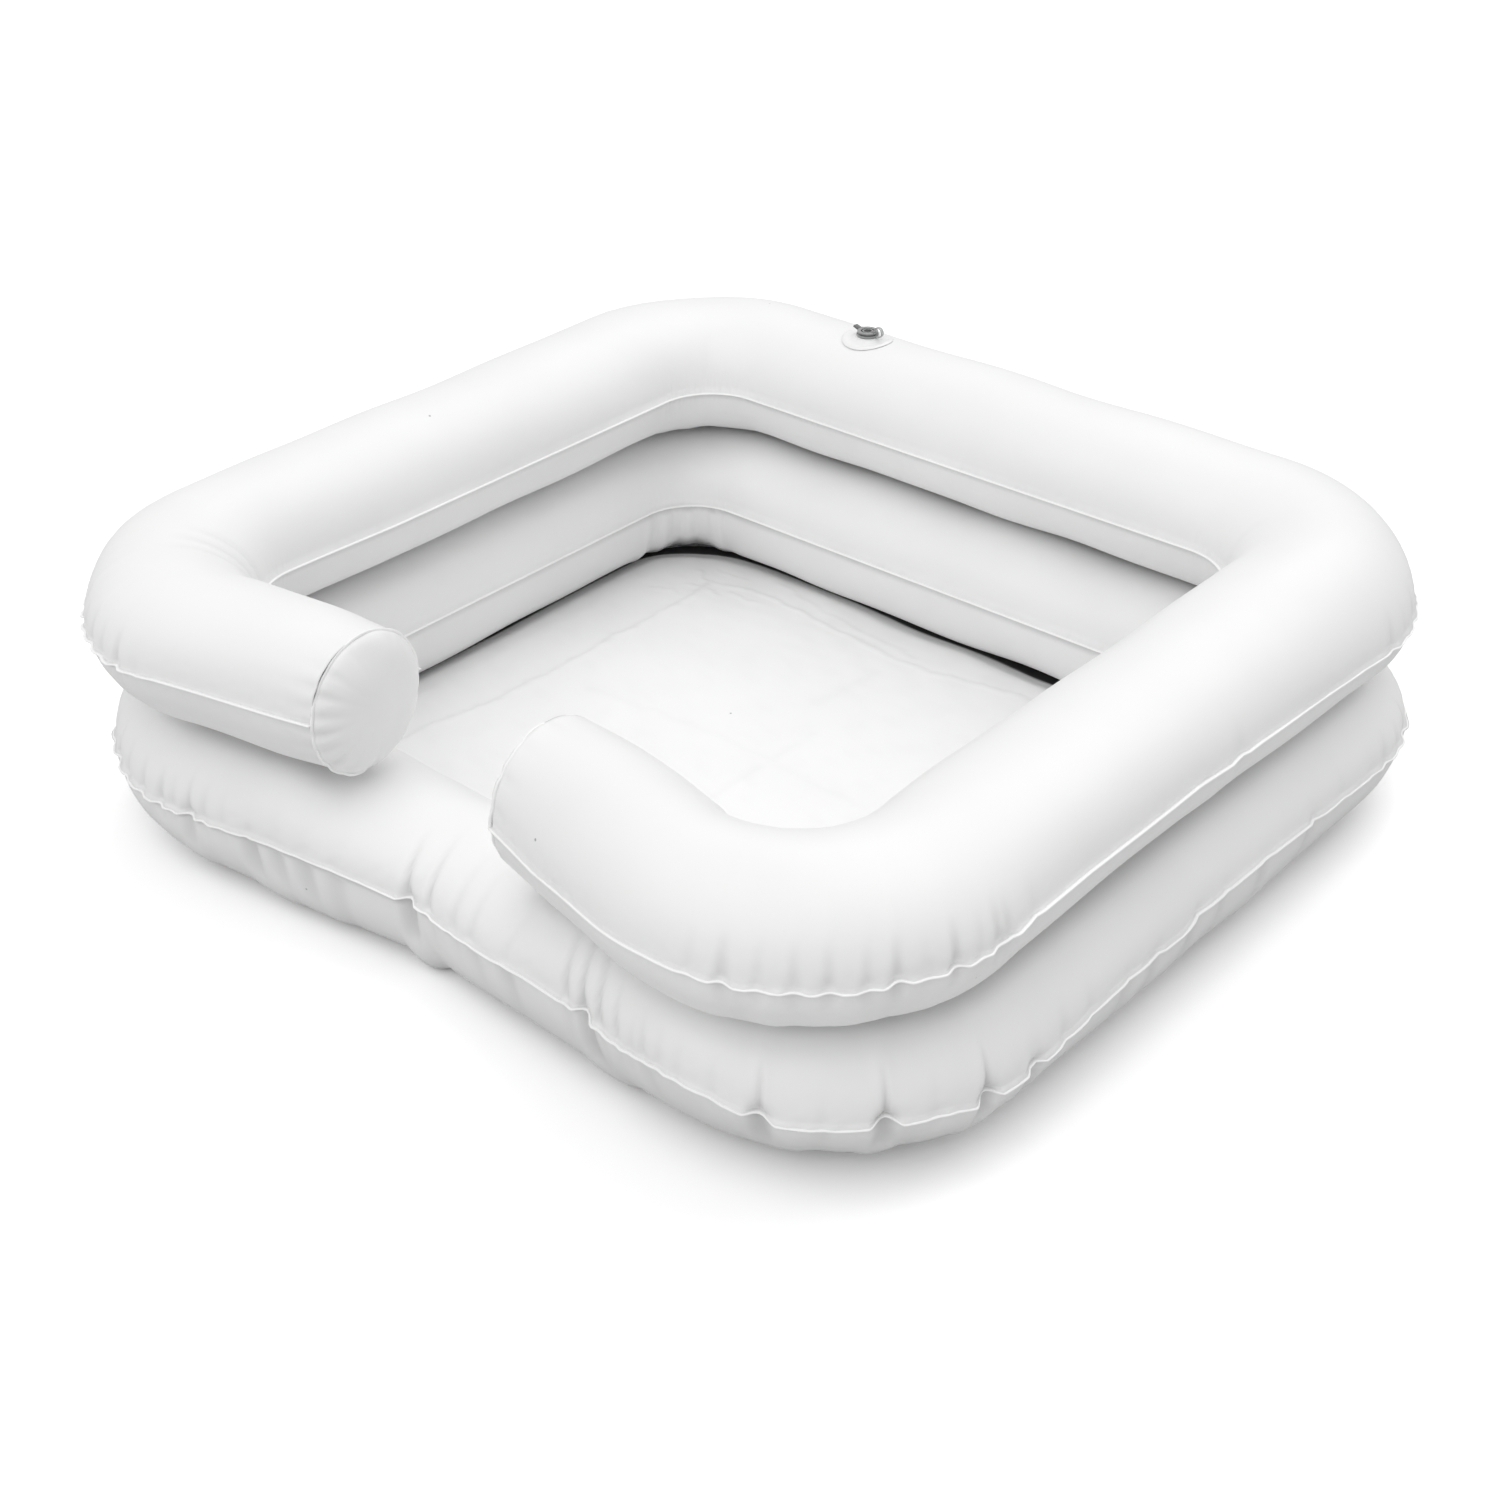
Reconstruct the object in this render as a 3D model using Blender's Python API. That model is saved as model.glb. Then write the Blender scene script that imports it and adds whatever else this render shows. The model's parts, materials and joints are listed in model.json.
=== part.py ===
"""Portable inflatable shampoo basin.

Two inflated rings of welded sheet stand on each other round a floor sheet. The upper ring is
open at the front, where the neck rests on the lower ring, and a round panel closes each of its
ends. Each ring has an air valve with a plug, and the floor has a drain with a stopper.
Metres, +Z up, +Y to the back. The origin is on the ground under the middle of the upper ring.
"""
import math

import bmesh
import bpy
from mathutils import Matrix, Vector

# Film, and the gap kept between two pieces that are welded or pushed together
SHEET = 0.0004
WELD_GAP = 0.0003

# Upper ring, measured on its welded seams
RING_WIDTH = 0.680
RING_DEPTH = 0.656
TUBE_WIDTH = 0.114
OUTER_CORNER_RADIUS = 0.135
INNER_CORNER_RADIUS = 0.042
SEAM_LIP = 0.003
UPPER_CROWN = 0.0455
UPPER_BELLY = 0.054
UPPER_FRONT_DRAW = 0.030

# Gathers: the film is cut flat, so its outer edge is too long at a corner and falls into pleats
UPPER_GATHER = 0.0035
LOWER_GATHER = 0.0060
GATHER_REACH = 0.038

# Lower ring: how its seam steps out or back from the upper ring's
LOWER_SIDE_STEP = 0.005
LOWER_FRONT_STEP = 0.010
LOWER_BACK_STEP = 0.017
LOWER_FRONT_RADIUS = 0.138
LOWER_BACK_RADIUS = 0.111
LOWER_CROWN = 0.031
LOWER_BELLY = 0.060
LOWER_FRONT_DRAW = 0.026

# Ends of the upper ring, on both sides of the neck opening
NECK_GAP = 0.147
END_RADIUS = 0.0425
END_RIM = 0.003
END_TAPER = 0.045
END_DOME = 0.009

# Floor sheet
FLOOR_RISE = 0.0056
FLOOR_WELD = 0.006

# Air valves
VALVE_OFFSET = 0.121
LOWER_VALVE_ANGLE = math.radians(22)
VALVE_PATCH_RADIUS = 0.0185
VALVE_PATCH = 0.0008
VALVE_COLLAR_RADIUS = 0.0088
VALVE_COLLAR_RISE = 0.0011
VALVE_COLLAR_DEPTH = 0.004
STEM_RADIUS = 0.0063
STEM_BORE_RADIUS = 0.0042
STEM_RIM_RADIUS = 0.008
STEM_RIM = 0.0015
STEM_STOP_RADIUS = 0.0076
STEM_STOP = 0.0012
STEM_TRAVEL = 0.012
FLAP_RADIUS = 0.0055
FLAP = 0.0008
PLUG_HEAD_RADIUS = 0.0075
PLUG_HEAD = 0.0017
PLUG_DISH_RADIUS = 0.0048
PLUG_DISH = 0.0008
PLUG_LENGTH = 0.008
PLUG_TAPER = 0.0005
PLUG_TAB = 0.0045
PLUG_TAB_LIFT = 0.0022
STRAP_LOOP_RADIUS = 0.0035
STRAP_WIDTH = 0.003
STRAP = 0.0008

# Drain in the floor
DRAIN_X = 0.135
DRAIN_Y = -0.105
DRAIN_PATCH_RADIUS = 0.024
DRAIN_PATCH = 0.0012
DRAIN_SPIGOT_RADIUS = 0.013
DRAIN_BORE_RADIUS = 0.010
DRAIN_SPIGOT_DEPTH = 0.0035
STOPPER_HEAD_RADIUS = 0.0135
STOPPER_HEAD = 0.0016
STOPPER_DEPTH = 0.004
STOPPER_TAPER = 0.0006
STOPPER_NECK_RADIUS = 0.0028
STOPPER_NECK = 0.0035
STOPPER_KNOB_RADIUS = 0.0045
STOPPER_KNOB = 0.0022

# Heights of the two seam planes, and of a lip's outer face above its own plane
LOWER_SEAM = LOWER_BELLY
UPPER_SEAM = LOWER_SEAM + LOWER_CROWN + WELD_GAP + UPPER_BELLY
LIP_FACE = WELD_GAP / 2 + SHEET

# Counts of steps. Every other corner step is a pleat, so the number of them is even
TUBE_STRIPS = 9
FRONT_STEPS = 5
TURN_STEPS = 1
CORNER_STEPS = 10
SIDE_STEPS = 2
BACK_STEPS = 2
PANEL_STEPS = 24
PANEL_RINGS = 4
SMALL_STEPS = 16
DRAIN_STEPS = 24
STRAP_STEPS = 12

# The crown strip of a tube is flat, and the curve through its two edges rises a little above it
CROWN_SHARE = math.cos(math.pi / (2 * TUBE_STRIPS))

# How much of the room between a corner and the front's middle a corner's arc may take
ARC_SHARE = 0.98

SHARP_ANGLE = math.radians(35)
RIGHT_ANGLE = math.radians(90)


def clear_scene():
    for obj in list(bpy.data.objects):
        bpy.data.objects.remove(obj, do_unlink=True)


def plastic(name, colour, roughness, transmission=0.0):
    material = bpy.data.materials.new(name)
    material.use_nodes = True
    shader = material.node_tree.nodes["Principled BSDF"]
    shader.inputs["Base Color"].default_value = (*colour, 1.0)
    shader.inputs["Roughness"].default_value = roughness
    shader.inputs["Metallic"].default_value = 0.0
    shader.inputs["Transmission Weight"].default_value = transmission
    return material


def add_object(name, bm, material, parent=None):
    """Turn a bmesh into a named object with its faces pointing out."""
    bmesh.ops.recalc_face_normals(bm, faces=bm.faces[:])
    mesh = bpy.data.meshes.new(name)
    bm.to_mesh(mesh)
    bm.free()
    mesh.materials.append(material)
    mesh.shade_smooth()
    mesh.set_sharp_from_angle(angle=SHARP_ANGLE)
    obj = bpy.data.objects.new(name, mesh)
    bpy.context.scene.collection.objects.link(obj)
    obj.parent = parent
    return obj


def add_seat(name, matrix):
    """An empty that carries the pieces of one fitting."""
    seat = bpy.data.objects.new(name, None)
    bpy.context.scene.collection.objects.link(seat)
    seat.matrix_world = matrix
    return seat


def turned(profile, steps, hollow):
    """Turn a profile of (radius, height) points about Z. A hollow one closes on itself."""
    bm = bmesh.new()
    verts = [bm.verts.new((radius, 0, height)) for radius, height in profile]
    edges = [bm.edges.new(pair) for pair in zip(verts, verts[1:])]
    if hollow:
        edges.append(bm.edges.new((verts[-1], verts[0])))
    bmesh.ops.spin(bm, geom=verts + edges, cent=(0, 0, 0), axis=(0, 0, 1),
                   angle=math.tau, steps=steps, use_merge=True, use_duplicate=False)
    bmesh.ops.remove_doubles(bm, verts=bm.verts[:], dist=WELD_GAP / 100)
    return bm


def cut_round_hole(obj, name, radius, depth, matrix):
    """Cut a round hole through an object along the matrix's Z axis."""
    bm = bmesh.new()
    bmesh.ops.create_cone(bm, cap_ends=True, segments=DRAIN_STEPS, radius1=radius,
                          radius2=radius, depth=depth)
    cutter = add_object(name, bm, obj.data.materials[0])
    cutter.matrix_world = matrix
    cutter.hide_render = True
    cutter.display_type = "WIRE"
    hole = obj.modifiers.new(name, "BOOLEAN")
    hole.operation = "DIFFERENCE"
    hole.solver = "EXACT"
    hole.object = cutter


def mix(start, end, share):
    return start + (end - start) * share


def spread(start, end, steps):
    """Points on a straight line after its start, up to and with its end."""
    return [start.lerp(end, step / steps) for step in range(1, steps + 1)]


def arc(centre, radius, start, end, steps):
    """Points on an arc after its start, up to and with its end."""
    angles = [mix(start, end, step / steps) for step in range(1, steps + 1)]
    return [centre + radius * Vector((math.cos(a), math.sin(a))) for a in angles]


def seam_rail(half_width, front, back, front_radius, back_radius, start):
    """Right half of a seam seen from above, from its start at the front to the middle of the back."""
    reach, draw = half_width - start.x, max(start.y - front, 0)
    front_radius = min(front_radius, ARC_SHARE * (reach + draw - math.sqrt(2 * reach * draw)))
    front_centre = Vector((half_width - front_radius, front + front_radius))
    back_centre = Vector((half_width - back_radius, back - back_radius))
    to_start = start - front_centre
    tangent = math.atan2(to_start.y, to_start.x) + math.acos(front_radius / to_start.length)
    touch = front_centre + front_radius * Vector((math.cos(tangent), math.sin(tangent)))
    if tangent > 0:
        tangent -= math.tau
    points = [start] + spread(start, touch, FRONT_STEPS)
    points += arc(front_centre, front_radius, tangent, -RIGHT_ANGLE, TURN_STEPS)
    points += arc(front_centre, front_radius, -RIGHT_ANGLE, 0, CORNER_STEPS)
    points += spread(points[-1], Vector((half_width, back - back_radius)), SIDE_STEPS)
    points += arc(back_centre, back_radius, 0, RIGHT_ANGLE, CORNER_STEPS)
    points += spread(points[-1], Vector((0, back)), BACK_STEPS)
    return points


def upper_stations():
    """Paired outer and inner seam points of the upper ring's right half."""
    half, front, back = RING_WIDTH / 2, -RING_DEPTH / 2, RING_DEPTH / 2
    outer_end = Vector((NECK_GAP / 2, front + UPPER_FRONT_DRAW))
    inner_end = outer_end + Vector((0, 2 * (END_RADIUS + END_RIM)))
    outer = seam_rail(half, front, back, OUTER_CORNER_RADIUS, OUTER_CORNER_RADIUS, outer_end)
    inner = seam_rail(half - TUBE_WIDTH, front + TUBE_WIDTH, back - TUBE_WIDTH,
                      INNER_CORNER_RADIUS, INNER_CORNER_RADIUS, inner_end)
    return list(zip(outer, inner))


def lower_stations():
    """Paired outer and inner seam points of the lower ring's right half."""
    half = RING_WIDTH / 2 + LOWER_SIDE_STEP
    front, back = -RING_DEPTH / 2 + LOWER_FRONT_STEP, RING_DEPTH / 2 - LOWER_BACK_STEP
    outer_middle = Vector((0, front + LOWER_FRONT_DRAW))
    inner_middle = outer_middle + Vector((0, TUBE_WIDTH))
    outer = seam_rail(half, front, back, LOWER_FRONT_RADIUS, LOWER_BACK_RADIUS, outer_middle)
    inner = seam_rail(half - TUBE_WIDTH, front + TUBE_WIDTH, back - TUBE_WIDTH,
                      INNER_CORNER_RADIUS, INNER_CORNER_RADIUS, inner_middle)
    return list(zip(outer, inner))


def pleat_shares():
    """How deep each station of a right half is pleated: fully at every other step of a corner."""
    corner = [step % 2 for step in range(1, CORNER_STEPS + 1)]
    plain_front, plain_side, plain_back = 1 + FRONT_STEPS + TURN_STEPS, SIDE_STEPS, BACK_STEPS
    return [0] * plain_front + corner + [0] * plain_side + corner + [0] * plain_back


def half_tube(half, lip, height):
    """Outer face of half a tube in section, from the outer lip's tip over to the inner one's."""
    root, rise = half - lip, (height - LIP_FACE) / CROWN_SHARE
    angles = [math.pi * strip / TUBE_STRIPS for strip in range(TUBE_STRIPS + 1)]
    wall = [Vector((root * math.cos(a), LIP_FACE + rise * math.sin(a))) for a in angles]
    return [Vector((half, LIP_FACE))] + wall + [Vector((-half, LIP_FACE))]


def inner_face(line):
    """The same line moved in by the thickness of the film."""
    normals = []
    for start, end in zip(line, line[1:]):
        along = (end - start).normalized()
        normals.append(Vector((-along.y, along.x)))
    moved = [line[0] + normals[0] * SHEET]
    for point, before, after in zip(line[1:], normals, normals[1:]):
        middle = (before + after).normalized()
        moved.append(point + middle * SHEET / middle.dot(before))
    return moved + [line[-1] + normals[-1] * SHEET]


def in_place(pair, line, seam, side):
    """Stand a line of (across, height) points up between a pair of seam points."""
    outer, inner = pair
    centre, across = (outer + inner) / 2, (outer - inner).normalized()
    points = []
    for point in line:
        spot = centre + across * point.x
        points.append(Vector((spot.x, spot.y, seam + side * point.y)))
    return points


def drawn_in(line, shares, pleat):
    """The same line with its outer edge drawn in by a pleat."""
    return [Vector((point.x - pleat * share, point.y)) for point, share in zip(line, shares)]


def tube_section(pair, lip, height, seam, side, pleat):
    """One closed section of a sheet: its outer face and back along its inner face."""
    line = half_tube((pair[0] - pair[1]).length / 2, lip, height)
    near = [max(1 - (point - line[1]).length / GATHER_REACH, 0) ** 2 for point in line[1:]]
    shares = [1] + near
    faces = drawn_in(line, shares, pleat) + drawn_in(inner_face(line), shares, pleat)[::-1]
    return in_place(pair, faces, seam, side)


def end_flange(pair, side):
    """Sections at the neck end, where the sheet turns out into the rim of the end panel."""
    line = half_tube(END_RADIUS + END_RIM, END_RIM, END_RADIUS)
    inner = in_place(pair, inner_face(line)[::-1], UPPER_SEAM, side)
    outer = in_place(pair, line, UPPER_SEAM, side)
    turn = math.pi / TUBE_STRIPS
    angles = [0, turn / 2] + [turn * strip for strip in range(1, TUBE_STRIPS)]
    angles += [math.pi - turn / 2, math.pi]
    rim = END_RADIUS + END_RIM
    edge = [Vector((rim * math.cos(a), LIP_FACE + (rim - LIP_FACE) * math.sin(a))) for a in angles]
    edge = in_place(pair, edge, UPPER_SEAM, side)

    def shift(points, distance):
        return [point + Vector((distance, 0, 0)) for point in points]

    return [edge + inner,
            shift(edge, SHEET) + shift(inner, SHEET / 2),
            shift(outer, SHEET) + shift(inner, SHEET)]


def mirrored(section):
    return [Vector((-point.x, point.y, point.z)) for point in section]


def loft(sections, closed):
    """Skin a row of sections with the same number of points.

    The second half of a section runs back along the first half's other face, so its faces start
    one point on: both faces of a thin wall are then split along the same diagonals.
    """
    bm = bmesh.new()
    half = len(sections[0]) // 2
    rows = [[bm.verts.new(point) for point in section] for section in sections]
    pairs = list(zip(rows, rows[1:]))
    if closed:
        pairs.append((rows[-1], rows[0]))
    else:
        bm.faces.new(rows[0])
        bm.faces.new(rows[-1])
    for row, following in pairs:
        for i in range(len(row)):
            corners = [row[i - 1], row[i], following[i], following[i - 1]]
            turn = 0 if i <= half else 1
            bm.faces.new(corners[turn:] + corners[:turn])
    bmesh.ops.triangulate(bm, faces=bm.faces[:], quad_method="FIXED")
    return bm


def upper_sheet(name, height, side, material):
    """Top or bottom sheet of the upper ring, drawn in towards the round end panels."""
    stations = upper_stations()
    end = stations[0][0]
    sections = end_flange(stations[0], side)
    for pair, pleat in zip(stations[1:], pleat_shares()[1:]):
        share = min((pair[0] - end).length / END_TAPER, 1)
        share = share * share * (3 - 2 * share)
        lip = mix(END_RIM, SEAM_LIP, share)
        reach = mix(END_RADIUS, height, share)
        sections.append(tube_section(pair, lip, reach, UPPER_SEAM, side, pleat * UPPER_GATHER))
    left = [mirrored(section) for section in sections[:-1]]
    return add_object(name, loft(sections + left[::-1], closed=False), material)


def lower_sheet(name, height, side, material):
    """Top or bottom sheet of the lower ring, a closed ring."""
    sections = []
    for pair, pleat in zip(lower_stations(), pleat_shares()):
        sections.append(tube_section(pair, SEAM_LIP, height, LOWER_SEAM, side, pleat * LOWER_GATHER))
    left = [mirrored(section) for section in sections[1:-1]]
    return add_object(name, loft(sections + left[::-1], closed=True), material)


def end_panel(name, side, material):
    """Round panel, domed by the air behind it, with a flat rim against the end of the tube."""
    foot = END_RADIUS - SHEET
    angles = [RIGHT_ANGLE * ring / PANEL_RINGS for ring in range(PANEL_RINGS)]
    dome = [(foot * math.sin(a), SHEET + END_DOME * math.cos(a)) for a in angles]
    back = [(radius, height - SHEET) for radius, height in dome]
    rim = END_RADIUS + END_RIM
    profile = dome + [(foot, SHEET), (rim, SHEET), (rim, 0), (foot, 0)] + back[::-1]
    panel = add_object(name, turned(profile, PANEL_STEPS, hollow=False), material)
    middle = (upper_stations()[0][0] + upper_stations()[0][1]) / 2
    panel.location = (side * (middle.x - WELD_GAP), middle.y, UPPER_SEAM)
    panel.rotation_euler = (0, -side * RIGHT_ANGLE, 0)
    return panel


def floor_sheet(name, material):
    """Flat floor whose edge is welded up against the underside of the lower tube."""
    rise = (LOWER_BELLY - LIP_FACE) / CROWN_SHARE
    drop = LOWER_BELLY - FLOOR_RISE - LIP_FACE - WELD_GAP
    edge, bend = [], []
    for outer, inner in lower_stations():
        centre, across = (outer + inner) / 2, (outer - inner).normalized()
        root = (outer - inner).length / 2 - SEAM_LIP
        reach = root * math.sqrt(1 - (drop / rise) ** 2)
        tip = reach - FLOOR_WELD
        tip_height = LOWER_SEAM - LIP_FACE - rise * math.sqrt(1 - (tip / root) ** 2) - WELD_GAP
        edge.append(Vector((*(centre - across * tip), tip_height)))
        bend.append(Vector((*(centre - across * reach), FLOOR_RISE)))
    edge += mirrored(edge[1:-1])[::-1]
    bend += mirrored(bend[1:-1])[::-1]
    bm = bmesh.new()
    rows = []
    for line, lowered in ((bend, 0), (edge, 0), (edge, SHEET), (bend, SHEET)):
        rows.append([bm.verts.new(point - Vector((0, 0, lowered))) for point in line])
    for row, following in zip(rows, rows[1:]):
        for i in range(len(row)):
            bm.faces.new((row[i - 1], row[i], following[i], following[i - 1]))
    bm.faces.new(rows[0])
    bm.faces.new(rows[-1])
    return add_object(name, bm, material)


def tube_dip(across, angle, root, rise):
    """How far the tube's face lies below its tangent plane, at a distance across from the touch."""
    normal = Vector((math.cos(angle) / root, math.sin(angle) / rise)).normalized()
    tangent = Vector((-normal.y, normal.x))
    start = Vector((root * math.cos(angle), rise * math.sin(angle))) + tangent * across
    a = (normal.x / root) ** 2 + (normal.y / rise) ** 2
    b = start.x * normal.x / root ** 2 + start.y * normal.y / rise ** 2
    c = (start.x / root) ** 2 + (start.y / rise) ** 2 - 1
    return (-b + math.sqrt(b * b - a * c)) / a


def valve_flange(name, seat, angle, root, rise, material):
    """Round patch that lies on the curve of the tube, with the collar that holds the stem."""
    top = WELD_GAP + VALVE_PATCH
    bore = STEM_RADIUS + WELD_GAP
    middle = (VALVE_PATCH_RADIUS + VALVE_COLLAR_RADIUS) / 2
    profile = [
        (VALVE_PATCH_RADIUS, WELD_GAP), (VALVE_PATCH_RADIUS, top), (middle, top),
        (VALVE_COLLAR_RADIUS, top), (VALVE_COLLAR_RADIUS, top + VALVE_COLLAR_RISE),
        (bore, top + VALVE_COLLAR_RISE), (bore, -VALVE_COLLAR_DEPTH),
        (VALVE_COLLAR_RADIUS, -VALVE_COLLAR_DEPTH), (VALVE_COLLAR_RADIUS, WELD_GAP),
        (middle, WELD_GAP)]
    bm = turned(profile, SMALL_STEPS, hollow=True)
    for vert in bm.verts:
        if 0 < vert.co.z < top + VALVE_COLLAR_RISE / 2:
            vert.co.z += tube_dip(vert.co.y, angle, root, rise)
    return add_object(name, bm, material, seat)


def valve_stem(name, seat, material):
    """Stem with a rim that rests on the collar and a stop that ends its travel."""
    rest = WELD_GAP + VALVE_PATCH + VALVE_COLLAR_RISE + WELD_GAP
    stop = -VALVE_COLLAR_DEPTH - WELD_GAP - STEM_TRAVEL
    profile = [
        (STEM_BORE_RADIUS, rest + STEM_RIM), (STEM_RIM_RADIUS, rest + STEM_RIM),
        (STEM_RIM_RADIUS, rest), (STEM_RADIUS, rest), (STEM_RADIUS, stop),
        (STEM_STOP_RADIUS, stop), (STEM_STOP_RADIUS, stop - STEM_STOP),
        (STEM_BORE_RADIUS, stop - STEM_STOP)]
    return add_object(name, turned(profile, SMALL_STEPS, hollow=True), material, seat)


def valve_flap(name, seat, material):
    """Check flap under the stem, with its origin on the hinge at its edge."""
    foot = -VALVE_COLLAR_DEPTH - WELD_GAP - STEM_TRAVEL - STEM_STOP
    profile = [(0, 0), (FLAP_RADIUS, 0), (FLAP_RADIUS, -FLAP), (0, -FLAP)]
    bm = turned(profile, SMALL_STEPS, hollow=False)
    bmesh.ops.translate(bm, verts=bm.verts[:], vec=(FLAP_RADIUS, 0, 0))
    flap = add_object(name, bm, material, seat)
    flap.location = (-FLAP_RADIUS, 0, foot - WELD_GAP)
    return flap


def stem_top():
    return WELD_GAP + VALVE_PATCH + VALVE_COLLAR_RISE + WELD_GAP + STEM_RIM


def valve_plug(name, seat, material):
    """Plug with a dished head, a tapered shank and a tab to pull it by."""
    base = stem_top() + WELD_GAP
    shank = STEM_BORE_RADIUS - WELD_GAP
    profile = [
        (0, base + PLUG_HEAD - PLUG_DISH), (PLUG_DISH_RADIUS, base + PLUG_HEAD - PLUG_DISH),
        (PLUG_DISH_RADIUS, base + PLUG_HEAD), (PLUG_HEAD_RADIUS, base + PLUG_HEAD),
        (PLUG_HEAD_RADIUS, base), (shank, base), (shank - PLUG_TAPER, base - PLUG_LENGTH),
        (0, base - PLUG_LENGTH)]
    bm = turned(profile, SMALL_STEPS, hollow=False)
    side = [face for face in bm.faces
            if face.calc_center_median().x < -PLUG_HEAD_RADIUS * math.cos(math.tau / SMALL_STEPS)
            and abs(face.normal.z) < PLUG_DISH / PLUG_HEAD]
    tab = bmesh.ops.extrude_face_region(bm, geom=side)["geom"]
    tip = [item for item in tab if isinstance(item, bmesh.types.BMVert)]
    bmesh.ops.translate(bm, verts=tip, vec=(-PLUG_TAB, 0, PLUG_TAB_LIFT))
    bmesh.ops.delete(bm, geom=side, context="FACES_ONLY")
    return add_object(name, bm, material, seat)


def valve_strap(name, seat, material):
    """Strap that loops from the side of the stem's rim up and down onto the plug's head."""
    start = Vector((STEM_RIM_RADIUS + WELD_GAP, stem_top() - STEM_RIM / 2))
    land = (PLUG_DISH_RADIUS + PLUG_HEAD_RADIUS) / 2
    centre = Vector((land + STRAP_LOOP_RADIUS, start.y + STRAP_LOOP_RADIUS))
    head = stem_top() + WELD_GAP + PLUG_HEAD + WELD_GAP
    turn = arc(centre, STRAP_LOOP_RADIUS, -RIGHT_ANGLE, 2 * RIGHT_ANGLE, STRAP_STEPS)
    path = [start, centre - Vector((0, STRAP_LOOP_RADIUS))] + turn + [Vector((land, head))]
    sections = []
    for i, point in enumerate(path):
        before, after = path[max(i - 1, 0)], path[min(i + 1, len(path) - 1)]
        along = (after - before).normalized()
        out = Vector((along.y, -along.x)) * STRAP / 2
        inner, outer = point - out, point + out
        sections.append([
            Vector((inner.x, -STRAP_WIDTH / 2, inner.y)), Vector((outer.x, -STRAP_WIDTH / 2, outer.y)),
            Vector((outer.x, STRAP_WIDTH / 2, outer.y)), Vector((inner.x, STRAP_WIDTH / 2, inner.y))])
    return add_object(name, loft(sections, closed=False), material, seat)


def air_valve(prefix, sheet, matrix, angle, root, rise, patch_material, material):
    """The whole valve on its seat, and its hole in the sheet."""
    seat = add_seat(prefix + "_seat", matrix)
    valve_flange(prefix + "_flange", seat, angle, root, rise, patch_material)
    valve_stem(prefix + "_stem", seat, material)
    valve_flap(prefix + "_flap", seat, material)
    valve_plug(prefix + "_plug", seat, material)
    valve_strap(prefix + "_strap", seat, material)
    hole = VALVE_COLLAR_RADIUS + WELD_GAP
    cut_round_hole(sheet, prefix + "_hole", hole, 2 * VALVE_COLLAR_DEPTH, matrix)


def upper_valve_place():
    """Seat on the crown of the upper tube's back side."""
    middle = RING_DEPTH / 2 - TUBE_WIDTH / 2
    crown = UPPER_SEAM + LIP_FACE + (UPPER_CROWN - LIP_FACE) / CROWN_SHARE
    return Matrix.Translation((-VALVE_OFFSET, middle, crown))


def lower_valve_place():
    """Seat on the outer side of the lower tube's back, below the seam and facing away from it."""
    middle = RING_DEPTH / 2 - LOWER_BACK_STEP - TUBE_WIDTH / 2
    root, rise = TUBE_WIDTH / 2 - SEAM_LIP, (LOWER_BELLY - LIP_FACE) / CROWN_SHARE
    out = root * math.cos(LOWER_VALVE_ANGLE)
    down = LIP_FACE + rise * math.sin(LOWER_VALVE_ANGLE)
    lean = math.atan2(math.sin(LOWER_VALVE_ANGLE) / rise, math.cos(LOWER_VALVE_ANGLE) / root)
    place = Matrix.Translation((-VALVE_OFFSET, middle + out, LOWER_SEAM - down))
    return place @ Matrix.Rotation(-RIGHT_ANGLE - lean, 4, "X")


def drain(sheet, material, stopper_material):
    """Outlet moulding in the floor and the stopper that closes it."""
    matrix = Matrix.Translation((DRAIN_X, DRAIN_Y, FLOOR_RISE))
    seat = add_seat("drain_seat", matrix)
    top = WELD_GAP + DRAIN_PATCH
    flange = [
        (DRAIN_PATCH_RADIUS, WELD_GAP), (DRAIN_PATCH_RADIUS, top), (DRAIN_BORE_RADIUS, top),
        (DRAIN_BORE_RADIUS, -DRAIN_SPIGOT_DEPTH), (DRAIN_SPIGOT_RADIUS, -DRAIN_SPIGOT_DEPTH),
        (DRAIN_SPIGOT_RADIUS, WELD_GAP)]
    add_object("drain_flange", turned(flange, DRAIN_STEPS, hollow=True), material, seat)
    cut_round_hole(sheet, "drain_hole", DRAIN_SPIGOT_RADIUS + WELD_GAP, FLOOR_RISE, matrix)

    base = top + WELD_GAP
    face = base + STOPPER_HEAD
    shank = DRAIN_BORE_RADIUS - WELD_GAP
    stopper = [
        (0, base - STOPPER_DEPTH), (shank - STOPPER_TAPER, base - STOPPER_DEPTH), (shank, base),
        (STOPPER_HEAD_RADIUS, base), (STOPPER_HEAD_RADIUS, face), (STOPPER_NECK_RADIUS, face),
        (STOPPER_NECK_RADIUS, face + STOPPER_NECK), (STOPPER_KNOB_RADIUS, face + STOPPER_NECK),
        (STOPPER_KNOB_RADIUS, face + STOPPER_NECK + STOPPER_KNOB),
        (0, face + STOPPER_NECK + STOPPER_KNOB)]
    add_object("drain_plug", turned(stopper, DRAIN_STEPS, hollow=False), stopper_material, seat)


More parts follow.
